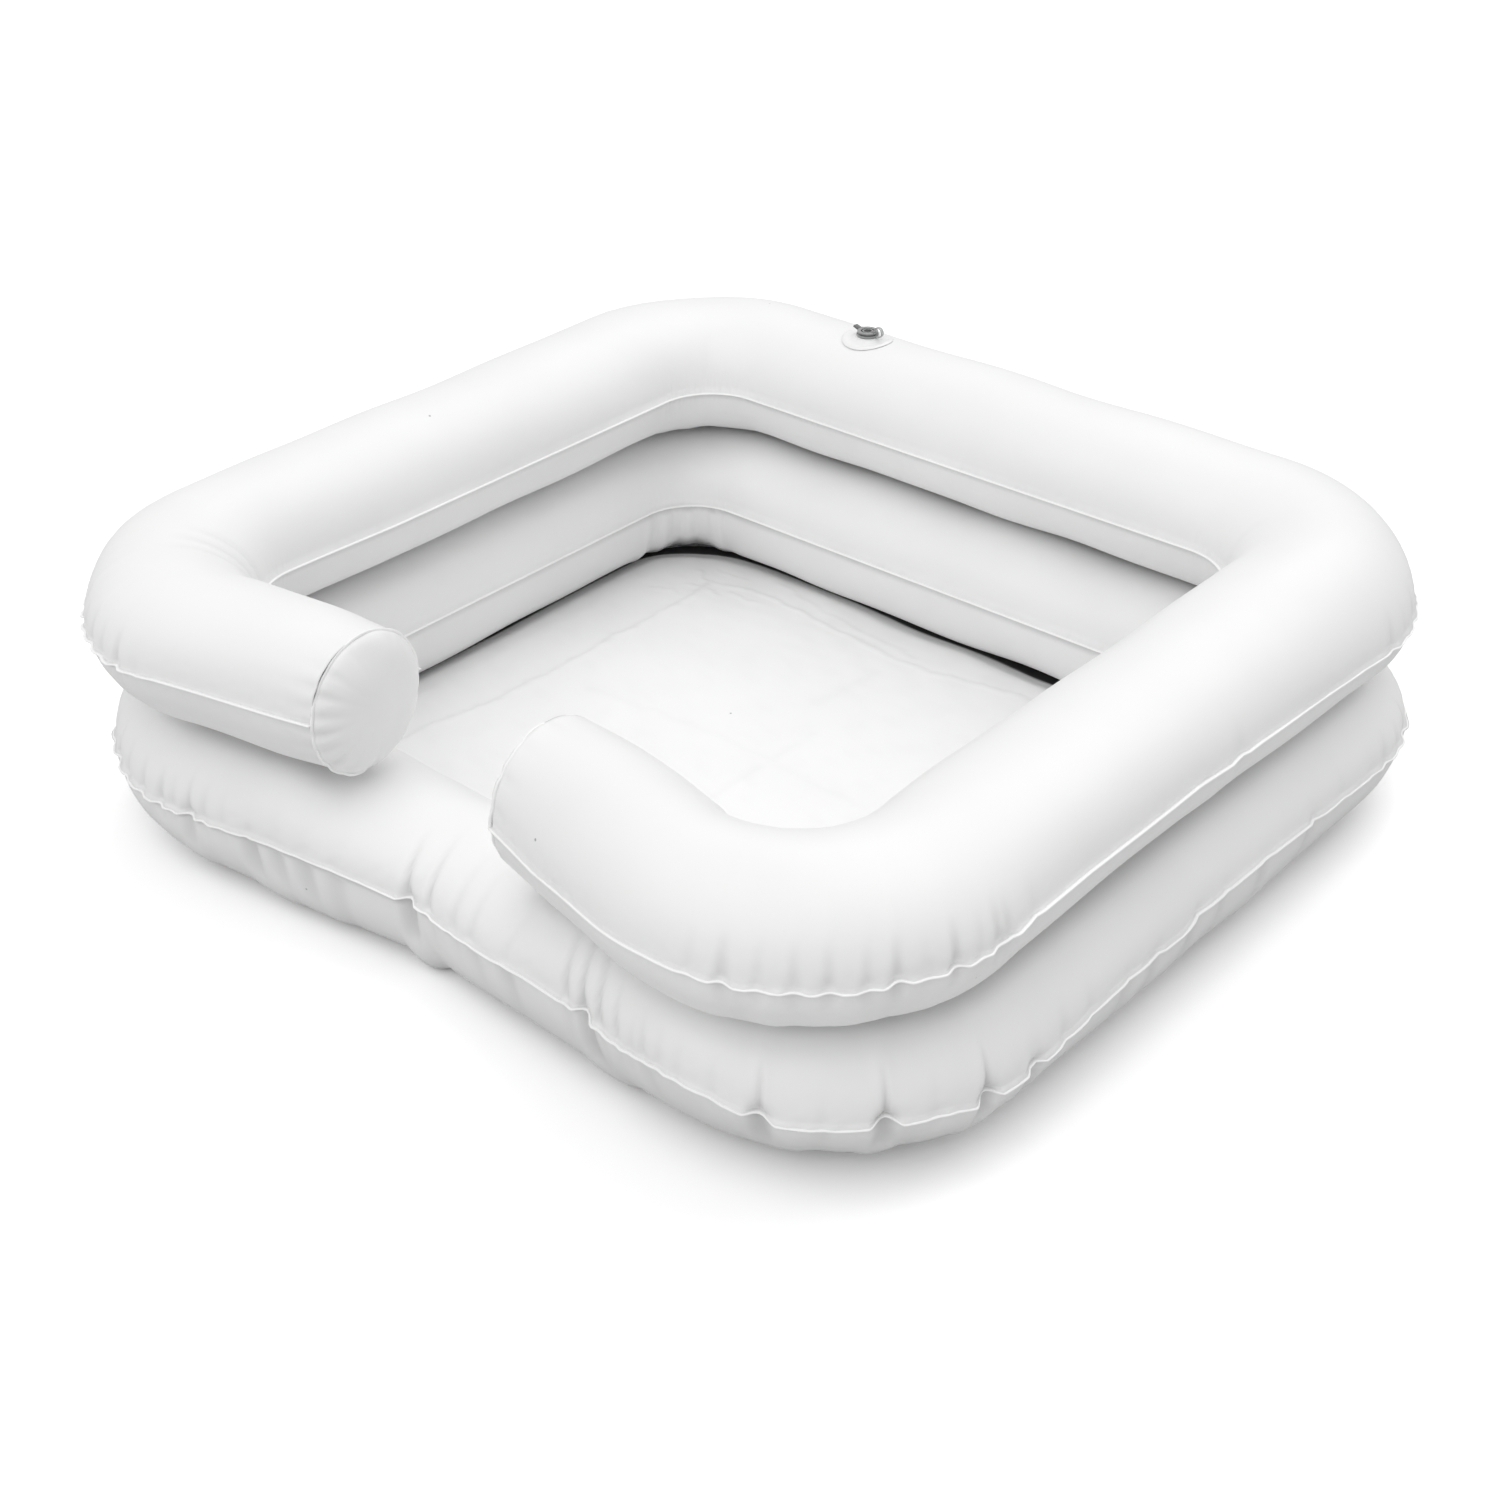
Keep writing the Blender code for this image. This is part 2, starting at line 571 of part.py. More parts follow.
def main():
    clear_scene()
    white = plastic("white_film", (0.93, 0.93, 0.93), 0.42)
    patch = plastic("white_moulding", (0.90, 0.90, 0.90), 0.38)
    clear = plastic("clear_moulding", (0.62, 0.64, 0.64), 0.25, transmission=0.6)

    upper_top = upper_sheet("upper_ring_top_sheet", UPPER_CROWN, 1, white)
    upper_sheet("upper_ring_bottom_sheet", UPPER_BELLY, -1, white)
    end_panel("right_end_panel", 1, white)
    end_panel("left_end_panel", -1, white)
    lower_sheet("lower_ring_top_sheet", LOWER_CROWN, 1, white)
    lower_bottom = lower_sheet("lower_ring_bottom_sheet", LOWER_BELLY, -1, white)
    floor = floor_sheet("floor_sheet", white)

    root = TUBE_WIDTH / 2 - SEAM_LIP
    upper_rise = (UPPER_CROWN - LIP_FACE) / CROWN_SHARE
    lower_rise = (LOWER_BELLY - LIP_FACE) / CROWN_SHARE
    air_valve("upper_valve", upper_top, upper_valve_place(), RIGHT_ANGLE, root, upper_rise,
              patch, clear)
    air_valve("lower_valve", lower_bottom, lower_valve_place(), LOWER_VALVE_ANGLE, root,
              lower_rise, patch, clear)
    drain(floor, patch, clear)
    bpy.context.view_layer.update()


main()
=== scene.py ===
"""Looks of the portable inflatable shampoo basin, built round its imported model.

Metres, +Z up, +Y to the back, as in the model, with millimetres in the tables. Each sheet of film
is a net of points that runs along the basin's welded seams, with the gathers and folds that the
inflated sheet falls into.
"""
import json
import math
from types import SimpleNamespace

import bmesh
import bpy
import numpy as np
from mathutils import Matrix, Vector


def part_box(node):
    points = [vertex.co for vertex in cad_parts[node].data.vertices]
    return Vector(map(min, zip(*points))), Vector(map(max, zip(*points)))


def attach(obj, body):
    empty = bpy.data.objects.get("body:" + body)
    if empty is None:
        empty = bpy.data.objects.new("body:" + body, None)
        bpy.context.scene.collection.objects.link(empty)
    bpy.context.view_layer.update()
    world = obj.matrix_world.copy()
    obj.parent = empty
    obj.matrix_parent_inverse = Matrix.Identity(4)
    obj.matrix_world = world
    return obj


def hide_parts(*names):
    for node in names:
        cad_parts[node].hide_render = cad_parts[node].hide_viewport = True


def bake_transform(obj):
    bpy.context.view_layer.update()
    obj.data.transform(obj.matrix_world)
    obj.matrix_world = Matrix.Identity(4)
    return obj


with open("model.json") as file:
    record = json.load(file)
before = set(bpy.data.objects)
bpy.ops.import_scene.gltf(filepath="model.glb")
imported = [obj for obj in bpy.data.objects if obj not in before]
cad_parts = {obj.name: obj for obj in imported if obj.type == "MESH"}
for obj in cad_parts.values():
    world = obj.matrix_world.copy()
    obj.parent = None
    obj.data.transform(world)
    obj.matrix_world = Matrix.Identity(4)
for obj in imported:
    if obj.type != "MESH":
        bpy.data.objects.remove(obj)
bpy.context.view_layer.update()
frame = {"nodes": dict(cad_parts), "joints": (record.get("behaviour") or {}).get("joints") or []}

RIGHT_ANGLE = math.radians(90)
MM = 0.001

# Film and its welded seams
FILM = 0.0004
LIP_FACE = 0.00055
SEAM_LIP = 0.003
WELD_WIDTH = 0.0021
WELD_HEIGHT = 0.0012
WELD_SIDES = 12
WELD_SQUARE_SHARE = 0.7
MERGE_DISTANCE = FILM / 1000

# Tubes, seen from above
TUBE_WIDTH = 0.114
UPPER_CORNER_RADIUS = 0.135
LOWER_FRONT_RADIUS = 0.138
LOWER_BACK_RADIUS = 0.111
INNER_CORNER_RADIUS = 0.042
UPPER_FRONT_DRAW = 0.030
LOWER_FRONT_DRAW = 0.026

# Round ends of the upper ring
NECK_GAP = 0.147
END_RADIUS = 0.0425
END_RIM = 0.003
END_TAPER = 0.045
END_DOME = 0.0125
END_DOME_EDGE = 0.6
END_BEAD_WIDTH = 0.0020
END_BEAD_HEIGHT = 0.0014
END_BEAD_SEAT = 0.0009
END_BEAD_OUT = 0.3
END_WAVER = 0.0002
END_WAVER_PACES = (5, 9)
END_RIM_DRAWN = 0.55
END_RIM_SUNK = 0.3
PANEL_DOME_POWER = 2.6
PANEL_PUCKER = 1.4
PANEL_PUCKER_DEPTH = 1.3
# Painted shade in the panel's gathers
PANEL_PUCKER_SHADE = 0.7
PANEL_SWELL = 0.0006
PANEL_SWELL_LENGTH = 0.03
PANEL_SWELL_POWER = 6
PANEL_SEED = 41

# Valves and drain, as in the model, with the fine steps in their sections. The patch's raised edge is
# how far in from its rim and how far above its face, and the dish is shares of its radius and depth
VALVE_PATCH_RADIUS = 0.0185
VALVE_PATCH = 0.0008
VALVE_COLLAR_RADIUS = 0.0088
VALVE_COLLAR_RISE = 0.0011
VALVE_COLLAR_DEPTH = 0.004
VALVE_COLLAR_FILLET = 0.0014
VALVE_COLLAR_FILLET_RISE = 0.0003
VALVE_PATCH_CHAMFER = 0.0002
VALVE_PATCH_EDGE = ((1.6, -0.1), (2.6, 0.1), (3.8, -0.2), (6, -0.3))
VALVE_PATCH_BEND_RING = 0.0055
VALVE_PATCH_BEND_START = 0.003
STEM_RADIUS = 0.0063
STEM_BORE_RADIUS = 0.0042
STEM_RIM_RADIUS = 0.008
STEM_RIM = 0.0015
STEM_STOP_RADIUS = 0.0076
STEM_STOP = 0.0012
STEM_TRAVEL = 0.012
PLUG_HEAD_RADIUS = 0.0075
PLUG_HEAD = 0.0017
PLUG_DISH_RADIUS = 0.0048
PLUG_DISH = 0.0008
PLUG_DISH_SLOPE = 0.0002
PLUG_DISH_SHARES = ((0, 1), (0.55, 1), (0.62, 0.3), (0.8, 0.3), (0.86, 1), (1, 1))
PLUG_LENGTH = 0.008
PLUG_TAPER = 0.0005
PLUG_TAB = 0.0036
PLUG_TAB_LIFT = 0.0014
PLUG_TAB_WIDTH = 0.0046
PLUG_TAB_THICKNESS = 0.0013
PLUG_TAB_ROOT = 0.0008
PLUG_TAB_SOFT = 0.0005
# Painted shade on the plug: how dark its tab is, and where it is dark in its dish and low on its head, as
# shares of the dish's radius and depth and of the head's height
PLUG_TAB_SHADE = 0.8
PLUG_DARK_RADIUS_SHARE = 1.02
PLUG_DARK_DISH_SHARE = 0.5
PLUG_DARK_HEAD_SHARE = 0.3
STRAP_LOOP_RADIUS = 0.0035
STRAP_WIDTH = 0.003
STRAP = 0.0008
STRAP_SUNK = 0.0002
STRAP_END_STEPS = 6
STRAP_LOOP_STEPS = 48
DRAIN_PATCH_RADIUS = 0.024
DRAIN_PATCH = 0.0012
DRAIN_EDGE_WIDTH = 0.0016
DRAIN_EDGE_SLOPE = 0.0008
DRAIN_GROOVE = 0.0004
DRAIN_SPIGOT_RADIUS = 0.013
DRAIN_SPIGOT_DEPTH = 0.0035
DRAIN_BORE_RADIUS = 0.010
STOPPER_HEAD_RADIUS = 0.0135
STOPPER_HEAD = 0.0016
STOPPER_DEPTH = 0.004
STOPPER_TAPER = 0.0006
STOPPER_NECK_RADIUS = 0.0028
STOPPER_NECK = 0.0035
STOPPER_NECK_FILLET = 0.0008
STOPPER_KNOB_RADIUS = 0.0045
STOPPER_KNOB = 0.0022
GAP = 0.0003
CROWN_SHARE = math.cos(math.radians(10))
LOWER_VALVE_ANGLE = math.radians(22)
TURNED_STEPS = 72
EDGE_SOFT = 0.00022
STOPPER_SOFT = 1.4
SHARP_ANGLE = math.radians(35)
HOLE_REACH = 1.6

# Where the basin in the photo has given way a little
SETTLED_CORNER = (-0.34, -0.328)
SETTLED_REACH = 0.22
SETTLED_CORNER_MOVE = 0.005
SETTLED_SIDE_MOVE = 0.002
SETTLED_SIDE_START = -0.16
SETTLED_SIDE_REACH = 0.14
LEFT_END_REACH = 0.08
LEFT_END_MIDDLE = -0.2525
LEFT_END_HALF = 0.05
LEFT_END_BACK = -0.18
LEFT_END_LOW = 0.095
LEFT_END_TURN = math.tan(math.radians(5))
LEFT_END_MOVE = 0.0016

# Floor sheet
FLOOR_INSET = 0.016
FLOOR_RIM_HEIGHT = 0.0018
FLOOR_CUT_SPARE = 0.002
FLOOR_COLUMNS = 248
FLOOR_ROWS = 188
FLOOR_EVEN_ROWS = 0.45
FLOOR_SLACK = 0.05
# Painted black shade in the crevice where the floor runs in under the tube: its width, how much wider
# where the floor is loose, and its soft edge
FLOOR_GAP = 0.0035
FLOOR_GAP_SLACK = 0.0135
FLOOR_GAP_EDGE = 0.0028
FLOOR_RISE_START = 0.004
FLOOR_RISE_REACH = 0.016
FLOOR_RISE_SLACK = 0.012
FLOOR_FOLD = 0.0009
# Painted shade beside each fold, and how far to the side of the fold it lies
FLOOR_FOLD_SHADE = 0.075
FLOOR_FOLD_SIDE = 0.0018
FLOOR_FOLD_POWER = 1.6
FLOOR_STREAK_SHADE = 0.010
FLOOR_STREAK_LENGTH = 0.018
FLOOR_STREAK_STRETCH = 2
FLOOR_STREAK_SEED = 26
FLOOR_PLAIN_REACH = 0.03

# Waves, as height, length and seed: in the floor sheet, and in the lines of its folds
FLOOR_SWELLS = ((0.0005, 0.085, 21), (0.00016, 0.022, 22))
FOLD_WAVER = (0.0011, 0.021, 24)
FOLD_SHIFT = (0.0007, 0.008, 25)

# Steps along a ring's half and across a sheet
FRONT_STEPS = 84
TURN_STEPS = 8
CORNER_STEPS = 150
SIDE_STEPS = 64
BACK_STEPS = 56
ACROSS_STEPS = 40
OUTER_DENSITY_SHARE = 0.55

# Gathers: how fast the notch in the seam turns into a fold, and how a fold fades
NOTCH_REACH = 0.004
FADE_POWER = 1.2
# Painted shade in the folds: the depth at which it is full, and how far from the seam it starts
HOLLOW_DEPTH = 0.0055
HOLLOW_START = 0.004
FLARE_START = 0.3
FLARE_REACH = 0.5
LEVEL_POWER = 1.5
SEAM_WAVER = 0.0002
SEAM_WAVER_PACES = (61, 37)
CREASE_UNDER_SHARE = 0.5
CREASE_START_POWER = 0.5
CREASE_END_POWER = 0.9
# Painted shade in the pinch under the seams and next to the ends' rims: its reach and its strengths
PINCH_REACH = 0.0018
PINCH_SHADE = 0.45
LEFT_RIM_SHADE = 0.25
RIGHT_RIM_SHADE = 0.8
# Painted contact shadow on the lower ring's top under the upper ring: where it starts across the tube,
# its reach, its strength, where it ends, and how it is left off and fades in at the neck
CONTACT_START = 0.60
CONTACT_REACH = 0.26
CONTACT_SHADE = 0.82
CONTACT_END = 0.1
CONTACT_BARE = 0.07
CONTACT_FADE = 0.03
HEEL_LIFT = 0.0075
HEEL_START = 0.12
HEEL_REACH = 0.45
HEEL_FRONT_SHARE = 0.30


def fold(depth, half, reach, lean=0.0, skew=0.0, flare=0.0):
    """A valley in the film: its depth, half its width, its reach from the seam, its lean, how much
    steeper one side is, and how far the film stands out beyond its foot. Lengths in millimetres."""
    return SimpleNamespace(depth=depth * MM, half=half * MM, reach=reach * MM, lean=lean * MM,
                           skew=skew, flare=flare * MM)


def pleat(place, notch, half, above, below):
    """A gather at a place along the seam: millimetres from its front, or minus to the left."""
    return SimpleNamespace(place=place * MM, notch=notch * MM, half=half * MM, above=above, below=below)


def gather(place, size):
    """A small gather, as a corner has many of."""
    return pleat(place, 0.62 * size, 7.2, fold(0.62 * size, 4.6, 26), fold(0.45 * size, 5.5, 19))


def deep_gather(place, size, lean=0.0):
    """A gather that is pulled in hard, and creases the film right down to the ground."""
    return pleat(place, 0.92 * size, 9.5, fold(0.48 * size, 2.7, 32),
                 fold(0.62 * size, 7.8, 50, lean, flare=0.30 * size))


# Gathers and pleats, in millimetres: a place along the outer seam and a size, or for a single
# pleat its place, notch and half its width, then its fold above the seam and its fold below.
# The tables after them are in millimetres too, apart from shares, strengths and degrees
UPPER_PLEATS = [gather(*row) for row in (
    (166, 1.4), (183.5, 4.4), (202, 2), (220, 2.8), (237, 3.4), (256, 2.8), (271.2, 4.4), (286.8, 1.2),
    (303.4, 5), (319, 1.4), (331, 4), (338.5, 3), (358, 1.6), (556, 2.2), (700, 0.6), (736, 2.4),
    (756, 1), (778, 2.2), (798, 1.2), (820, 2.4), (844, 1.2), (868, 2), (896, 1), (924, 1.2),
    (-124, 1), (-143, 4.2), (-162, 2.2), (-180, 3.4), (-198.5, 2), (-215, 6.6), (-233, 2.6),
    (-252, 3.8), (-270, 3), (-290, 2.4), (-312, 1.6), (-730, 1.6), (-749, 3.4), (-766, 2.6),
    (-785, 4.4), (-803, 2.4), (-822, 4), (-840, 2.8), (-859, 3.8), (-880, 2.4), (-905, 2), (-930, 1.2))]

LOWER_PLEATS = [pleat(*along, fold(*above), fold(*below)) for along, above, below in (
    ((-6.8, 5.2, 7.5), (4, 3.2, 44, -10), (5.8, 8, 70, -2, 0.2, 6.6)),
    ((11, 1.2, 6), (3.4, 3.4, 50, -8), (1.4, 6, 30, 4)),
    ((33, 0.6, 6), (1.6, 5, 50, -2), (1, 9, 30, 6)),
    ((50, 0.4, 6), (1.4, 5, 50, -2), (2.2, 11, 40, 6)),
    ((80, 0.4, 7), (1, 6, 46, 12), (3, 12, 45, 6)),
    ((136, 0.8, 6), (3.4, 4.2, 64, -12), (1.6, 8, 30)),
    ((150, 5.8, 8.5), (4, 3.6, 64, -14), (5.4, 10.5, 70, 6, -0.1, 4.4)),
    ((164, 1, 6), (3.6, 3.6, 60, -14), (1.2, 6, 30)),
    ((198, 1.4, 9), (2.2, 4, 30, -6), (1.8, 8, 40, 6)),
    ((178, 0.8, 5), (2.8, 3.2, 40, -10), (1, 6, 30)),
    ((516, 1, 7), (0.4, 5, 10), (2.4, 9, 50)),
    ((542, 1.6, 6), (0.8, 4, 12), (2.6, 8, 50, 4)),
    ((586, 1.6, 8), (0.4, 5, 10), (3, 9, 55, -4, 0, 1.6)),
    ((616, 0.6, 7), (0.4, 5, 10), (2.2, 8, 45)),
    ((660, 1, 7), (0.4, 5, 10), (2.8, 9, 55, 6, 0, 1.6)),
    ((718, 2, 7), (1.2, 4, 14), (2.6, 8, 50)),
    ((-62, 0.3, 8), (0.4, 9, 30), (2.6, 12, 60)),
    ((-87, 0.3, 8), (0.4, 8, 30), (3.6, 11, 60, 6, 0, 1.8)),
    ((-108, 0.4, 8), (0.4, 8, 30), (3.4, 9, 55, 4, 0, 1.6)),
    ((-128.2, 1, 5), (2.2, 2.6, 9), (4.4, 10, 60, 4, 0.2, 3)))]
LOWER_PLEATS += [gather(*row) for row in (
    (188, 2), (208, 1.8), (221, 1.2), (242, 1.2), (301, 1), (360, 1), (456, 2.2), (480, 1.4),
    (750, 1.2), (790, 1.2), (807, 2.4), (826, 1.4), (868, 1.8), (888, 3), (910, 1.8), (962, 1.6),
    (-150, 1.2), (-166, 3), (-193, 2.2), (-205, 4.4), (-225.5, 3), (-248, 2.4), (-292, 2.4),
    (-340, 2.4), (-398, 2), (-793, 2), (-831, 3.4), (-872, 3), (-916, 3.6), (-968, 2))]
LOWER_PLEATS += [deep_gather(*row) for row in (
    (268, 6.2), (333.1, 8), (392.5, 8.6), (429, 5.2), (846, 3.4), (935, 3), (-179, 5.2, -6),
    (-270, 3.4), (-315, 3.4), (-368, 3.2), (-811, 4), (-851, 5.4), (-893, 5.6), (-942, 4.4))]

# How far the rings' touching faces lie above the plane between them, where one carries the other,
# and how full the lower ring's top is there
UPPER_PRESSED = 0.0085
LOWER_PRESSED = 0.0072
LOADED_START = 0.06
LOADED_REACH = 0.07
LOADED_FULLNESS = 0.32
UPPER_INNER_FLATNESS = 0.05

# How flat the film runs from the outer seam to the underside, and where it is full instead
UPPER_FLATNESS = (
    (-320, 0), (-240, 0.08), (-160, 0.14), (-60, 0.1), (0, -0.02), (120, -0.06), (180, -0.16),
    (240, -0.2), (300, -0.14), (380, 0))
LOWER_FLATNESS = (
    (-460, 0), (-320, 0), (-245, -0.06), (-195, -0.3), (-150, -0.54), (-20, -0.7), (50, -0.54),
    (90, -0.2), (130, 0.14), (155, 0.32), (185, 0.42), (240, 0.54), (340, 0.5), (460, 0.25), (620, 0))

# Creases over the upper ring's inner corners: place, depth, half the width, reach, lean
UPPER_CREASES = (
    (-205, 2, 11, 85, -10), (-232, 2.4, 12, 80, -4), (-262, 1.8, 11, 70, 6), (205, 1, 13, 60, 0),
    (250, 1.2, 13, 60, 0), (295, 0.8, 12, 55, 0), (830, 0.6, 14, 50, 0), (-840, 0.6, 14, 50, 0))

# Floor sheet: where it is loose (place, size, strength), and the folds that it was packed in
# (line, half the width, strength)
FLOOR_LOOSE = (
    (-256, 238, 42, 36, 1.05), (-30, 240, 40, 30, 0.4), (75, 240, 48, 30, 0.55),
    (-268, 20, 20, 50, 0.1), (268, 60, 20, 80, 0.25), (120, -250, 80, 30, 0.2))
FLOOR_FOLDS = (
    (((-205, -175), (-202.6, -140), (-201.3, -95), (-192.6, -55), (-189.9, 43), (-190.9, 120),
      (-188.7, 158), (-193, 178)), 1.8, 1),
    (((-183, 186), (-168, 192), (-144, 192.6), (-69.4, 184.2), (-19.3, 179.1), (8.4, 178.6),
      (81, 193.6), (190, 190)), 2, 0.8),
    (((-151.5, 213), (-102.6, 201.4), (-53.3, 194), (-8, 188.8)), 2.4, 0.4),
    (((-214, 189), (-200, 183), (-186, 184)), 1.5, 0.9),
    (((-206, 166), (-192, 172), (-176, 170)), 1.4, 0.8),
    (((-172, 181), (-156, 176), (-146, 181)), 1.4, 0.7),
    (((-222, 146), (-206, 153), (-198, 150)), 1.4, 0.6),
    (((-204, 202), (-188, 199), (-176, 203)), 1.4, 0.5),
    (((-213, -160), (-235, -120), (-238, -60)), 2.6, 0.4),
    (((-20, 94), (-16, 152)), 5, 0.35),
    (((0, -150), (4, 60)), 3, 0.35),
    (((-150, 10), (-40, 20), (80, 12)), 3, 0.3),
    (((196, -150), (192, 20), (197, 195)), 2, 0.8),
    (((-200, -178), (-60, -170), (80, -176), (200, -172)), 2, 0.7))

# Gathers round the two ends of the upper ring: degrees from the outer seam over the top, depth
LEFT_END_PUCKERS = (
    (-166, 0.6), (-139, 0.8), (-112, 0.4), (-86, 1.2), (-58, 0.8), (-37, 1.8), (-19, 1), (-2, 1.8),
    (14, 1.2), (31, 1.4), (50, 0.8), (74, 0.4), (120, 0.4))
RIGHT_END_PUCKERS = (
    (-158, 0.6), (-126, 0.7), (-97, 1), (-70, 0.9), (-45, 1.4), (-24, 1.2), (-6, 1.6), (14, 1),
    (39, 1.2), (66, 0.6), (93, 1), (124, 0.5), (155, 0.5))
END_PUCKER_HALF = 0.0050
END_PUCKER_HELD = 0.3
END_PUCKER_RISE = 0.004
END_PUCKER_REACH = 0.010
PANEL_PUCKER_REACH = 0.0055
END_STEPS = 180
END_RINGS = 30

# How the outer seams rise and sink along their way: place along the seam, height
UPPER_LEVELS = (
    (-240, 0), (-185, 1.6), (-150, 2), (-105, 7), (-70, 6.6), (-35, 6), (-0.1, 5.4), (0, -0.8),
    (44, -3.6), (75, -1.2), (140, 0), (186, -2.6), (254, -2.4), (272, -0.2), (305, -1.8), (335, -1.4),
    (362, 3), (405, 4.8), (450, 4.2), (512, 4.4), (545, 1), (575, 1.6), (607, 0), (650, -2.4),
    (695, -5.4), (740, -9.6), (810, -9.6), (880, -5), (1000, 0))
LOWER_LEVELS = (
    (-620, 0), (-460, -6), (-180, -8.5), (-155, -6), (-120, -2.2), (-40, -1.8), (-10, -3.4),
    (30, -4.2), (68, -0.8), (100, 4.2), (145, 6.6), (160, 5), (185, 3.8), (210, 6.2), (237, 4),
    (254, 0), (272, -4.6), (300, -5.6), (372, -6), (384, -8.8), (400, -8), (440, -7.8), (460, -5.2),
    (494, -1.2), (536, -0.8), (570, -1.8), (590, 3.4), (627, 2.8), (673, 1.4), (720, -1.2), (800, -4),
    (900, -3), (1000, 0))
NOTCH_LIFT = 0.22

# How far a ring's inner side is drawn towards its outer one: place along the ring, distance
UPPER_DRAWN = (
    (-440, 0), (-345, 4), (-240, 7), (-130, 5.4), (-80, 2.4), (-30, 0), (40, 0), (70, 2.2), (100, 7.8),
    (130, 11.2), (180, 13.8), (240, 13.8), (290, 9.4), (330, 5), (380, 1.8), (450, 0))
LOWER_DRAWN = (
    (-240, 0), (-150, 4.2), (-95, 6.6), (-60, 9), (-15, 15), (25, 15), (75, 9), (150, 3), (240, 0))
DRAWN_START = 0.5
DRAWN_REACH = 1.3

# Places on the left half start this far below zero, so that the two ends differ
LEFT_START = 0.0002


def straight(start, end, steps):
    """Points on a straight line after its start, up to and with its end."""
    shares = np.arange(1, steps + 1)[:, None] / steps
    return start + (np.asarray(end) - start) * shares


def arc(centre, radius, start, end, steps):
    """Points on an arc after its start, up to and with its end."""
    angles = start + (end - start) * np.arange(1, steps + 1) / steps
    return centre + radius * np.column_stack((np.cos(angles), np.sin(angles)))


def smooth(share):
    share = np.clip(share, 0, 1)
    return share * share * (3 - 2 * share)


def seam_rail(half_width, front, back, front_radius, back_radius, start):
    """Right half of a seam seen from above, from its start at the front to the middle of the back."""
    front_centre = np.array((half_width - front_radius, front + front_radius))
    back_centre = np.array((half_width - back_radius, back - back_radius))
    to_start = start - front_centre
    tangent = math.atan2(to_start[1], to_start[0]) + math.acos(front_radius / np.hypot(*to_start))
    if tangent > 0:
        tangent -= math.tau
    touch = front_centre + front_radius * np.array((math.cos(tangent), math.sin(tangent)))
    side_end = np.array((half_width, back - back_radius))
    front_corner = arc(front_centre, front_radius, -RIGHT_ANGLE, 0, CORNER_STEPS)
    back_corner = arc(back_centre, back_radius, 0, RIGHT_ANGLE, CORNER_STEPS)
    return np.vstack((
        start[None], straight(start, touch, FRONT_STEPS),
        arc(front_centre, front_radius, tangent, -RIGHT_ANGLE, TURN_STEPS), front_corner,
        straight(front_corner[-1], side_end, SIDE_STEPS), back_corner,
        straight(back_corner[-1], (0, back), BACK_STEPS)))


def both_halves(right):
    """A rail's right half, followed by its mirror image back to the front on the left."""
    return np.vstack((right, (right * (-1, 1))[-2::-1]))


def make_ring(outer, inner, top_node, bottom_node):
    """A ring's stations: its two seams, and its sizes as the model has them."""
    steps = np.linalg.norm(np.diff(outer, axis=0), axis=1)
    along = np.concatenate(((0,), np.cumsum(steps)))
    top_low, top_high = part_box(top_node)
    bottom_low, bottom_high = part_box(bottom_node)
    seam = (top_low.z + bottom_high.z) / 2
    ring = SimpleNamespace(outer=both_halves(outer), inner=both_halves(inner), seam=seam)
    ring.along = np.concatenate((along, -along[-2::-1] - LEFT_START))
    ring.half = np.linalg.norm(ring.outer - ring.inner, axis=1) / 2
    ring.centre = (ring.outer + ring.inner) / 2
    ring.across = (ring.outer - ring.inner) / (2 * ring.half[:, None])
    ring.lip = np.full(len(ring.along), SEAM_LIP)
    ring.crown = np.full(len(ring.along), top_high.z - seam)
    ring.belly = np.full(len(ring.along), seam - bottom_low.z)
    ring.flatness = np.zeros(len(ring.along))
    ring.inner_flatness = np.zeros(len(ring.along))
    ring.top_flatness = np.zeros(len(ring.along))
    return ring


def through(points, unit, place):
    """A smooth curve through a table of places and values."""
    places, values = np.array(points).T * ((MM,), (unit,))
    slopes = np.gradient(values, places)
    left = np.clip(np.searchsorted(places, place) - 1, 0, len(places) - 2)
    width = places[left + 1] - places[left]
    share = np.clip((place - places[left]) / width, 0, 1)
    rest = 1 - share
    ends = rest ** 2 * (1 + 2 * share) * values[left] + share ** 2 * (1 + 2 * rest) * values[left + 1]
    return ends + share * rest * width * (rest * slopes[left] - share * slopes[left + 1])


def drawn_in(ring, across):
    """Places across a ring after its inner side is drawn towards its outer one."""
    share = smooth((DRAWN_START - across / ring.half[:, None]) / DRAWN_REACH)
    return across + ring.drawn[:, None] * share


def make_upper_ring():
    """The open ring: near its two round ends it draws in to them."""
    low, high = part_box("upper_ring_top_sheet")
    half, front, back = high.x, low.y, high.y
    outer_end = np.array((NECK_GAP / 2, front + UPPER_FRONT_DRAW))
    inner_end = outer_end + (0, 2 * (END_RADIUS + END_RIM))
    outer = seam_rail(half, front, back, UPPER_CORNER_RADIUS, UPPER_CORNER_RADIUS, outer_end)
    inner = seam_rail(half - TUBE_WIDTH, front + TUBE_WIDTH, back - TUBE_WIDTH,
                      INNER_CORNER_RADIUS, INNER_CORNER_RADIUS, inner_end)
    ring = make_ring(outer, inner, "upper_ring_top_sheet", "upper_ring_bottom_sheet")
    share = smooth(np.abs(ring.along) / END_TAPER)
    ring.lip = END_RIM + (ring.lip - END_RIM) * share
    ring.crown = END_RADIUS + (ring.crown - END_RADIUS) * share
    ring.belly = END_RADIUS + (ring.belly - UPPER_PRESSED - END_RADIUS) * share
    ring.flatness = through(UPPER_FLATNESS, 1, ring.along)
    ring.inner_flatness += UPPER_INNER_FLATNESS
    ring.drawn = through(UPPER_DRAWN, MM, ring.along)
    ring.pleats, ring.creases = UPPER_PLEATS, UPPER_CREASES
    ring.level = seam_level(ring, UPPER_LEVELS)
    ring.closed = False
    return ring


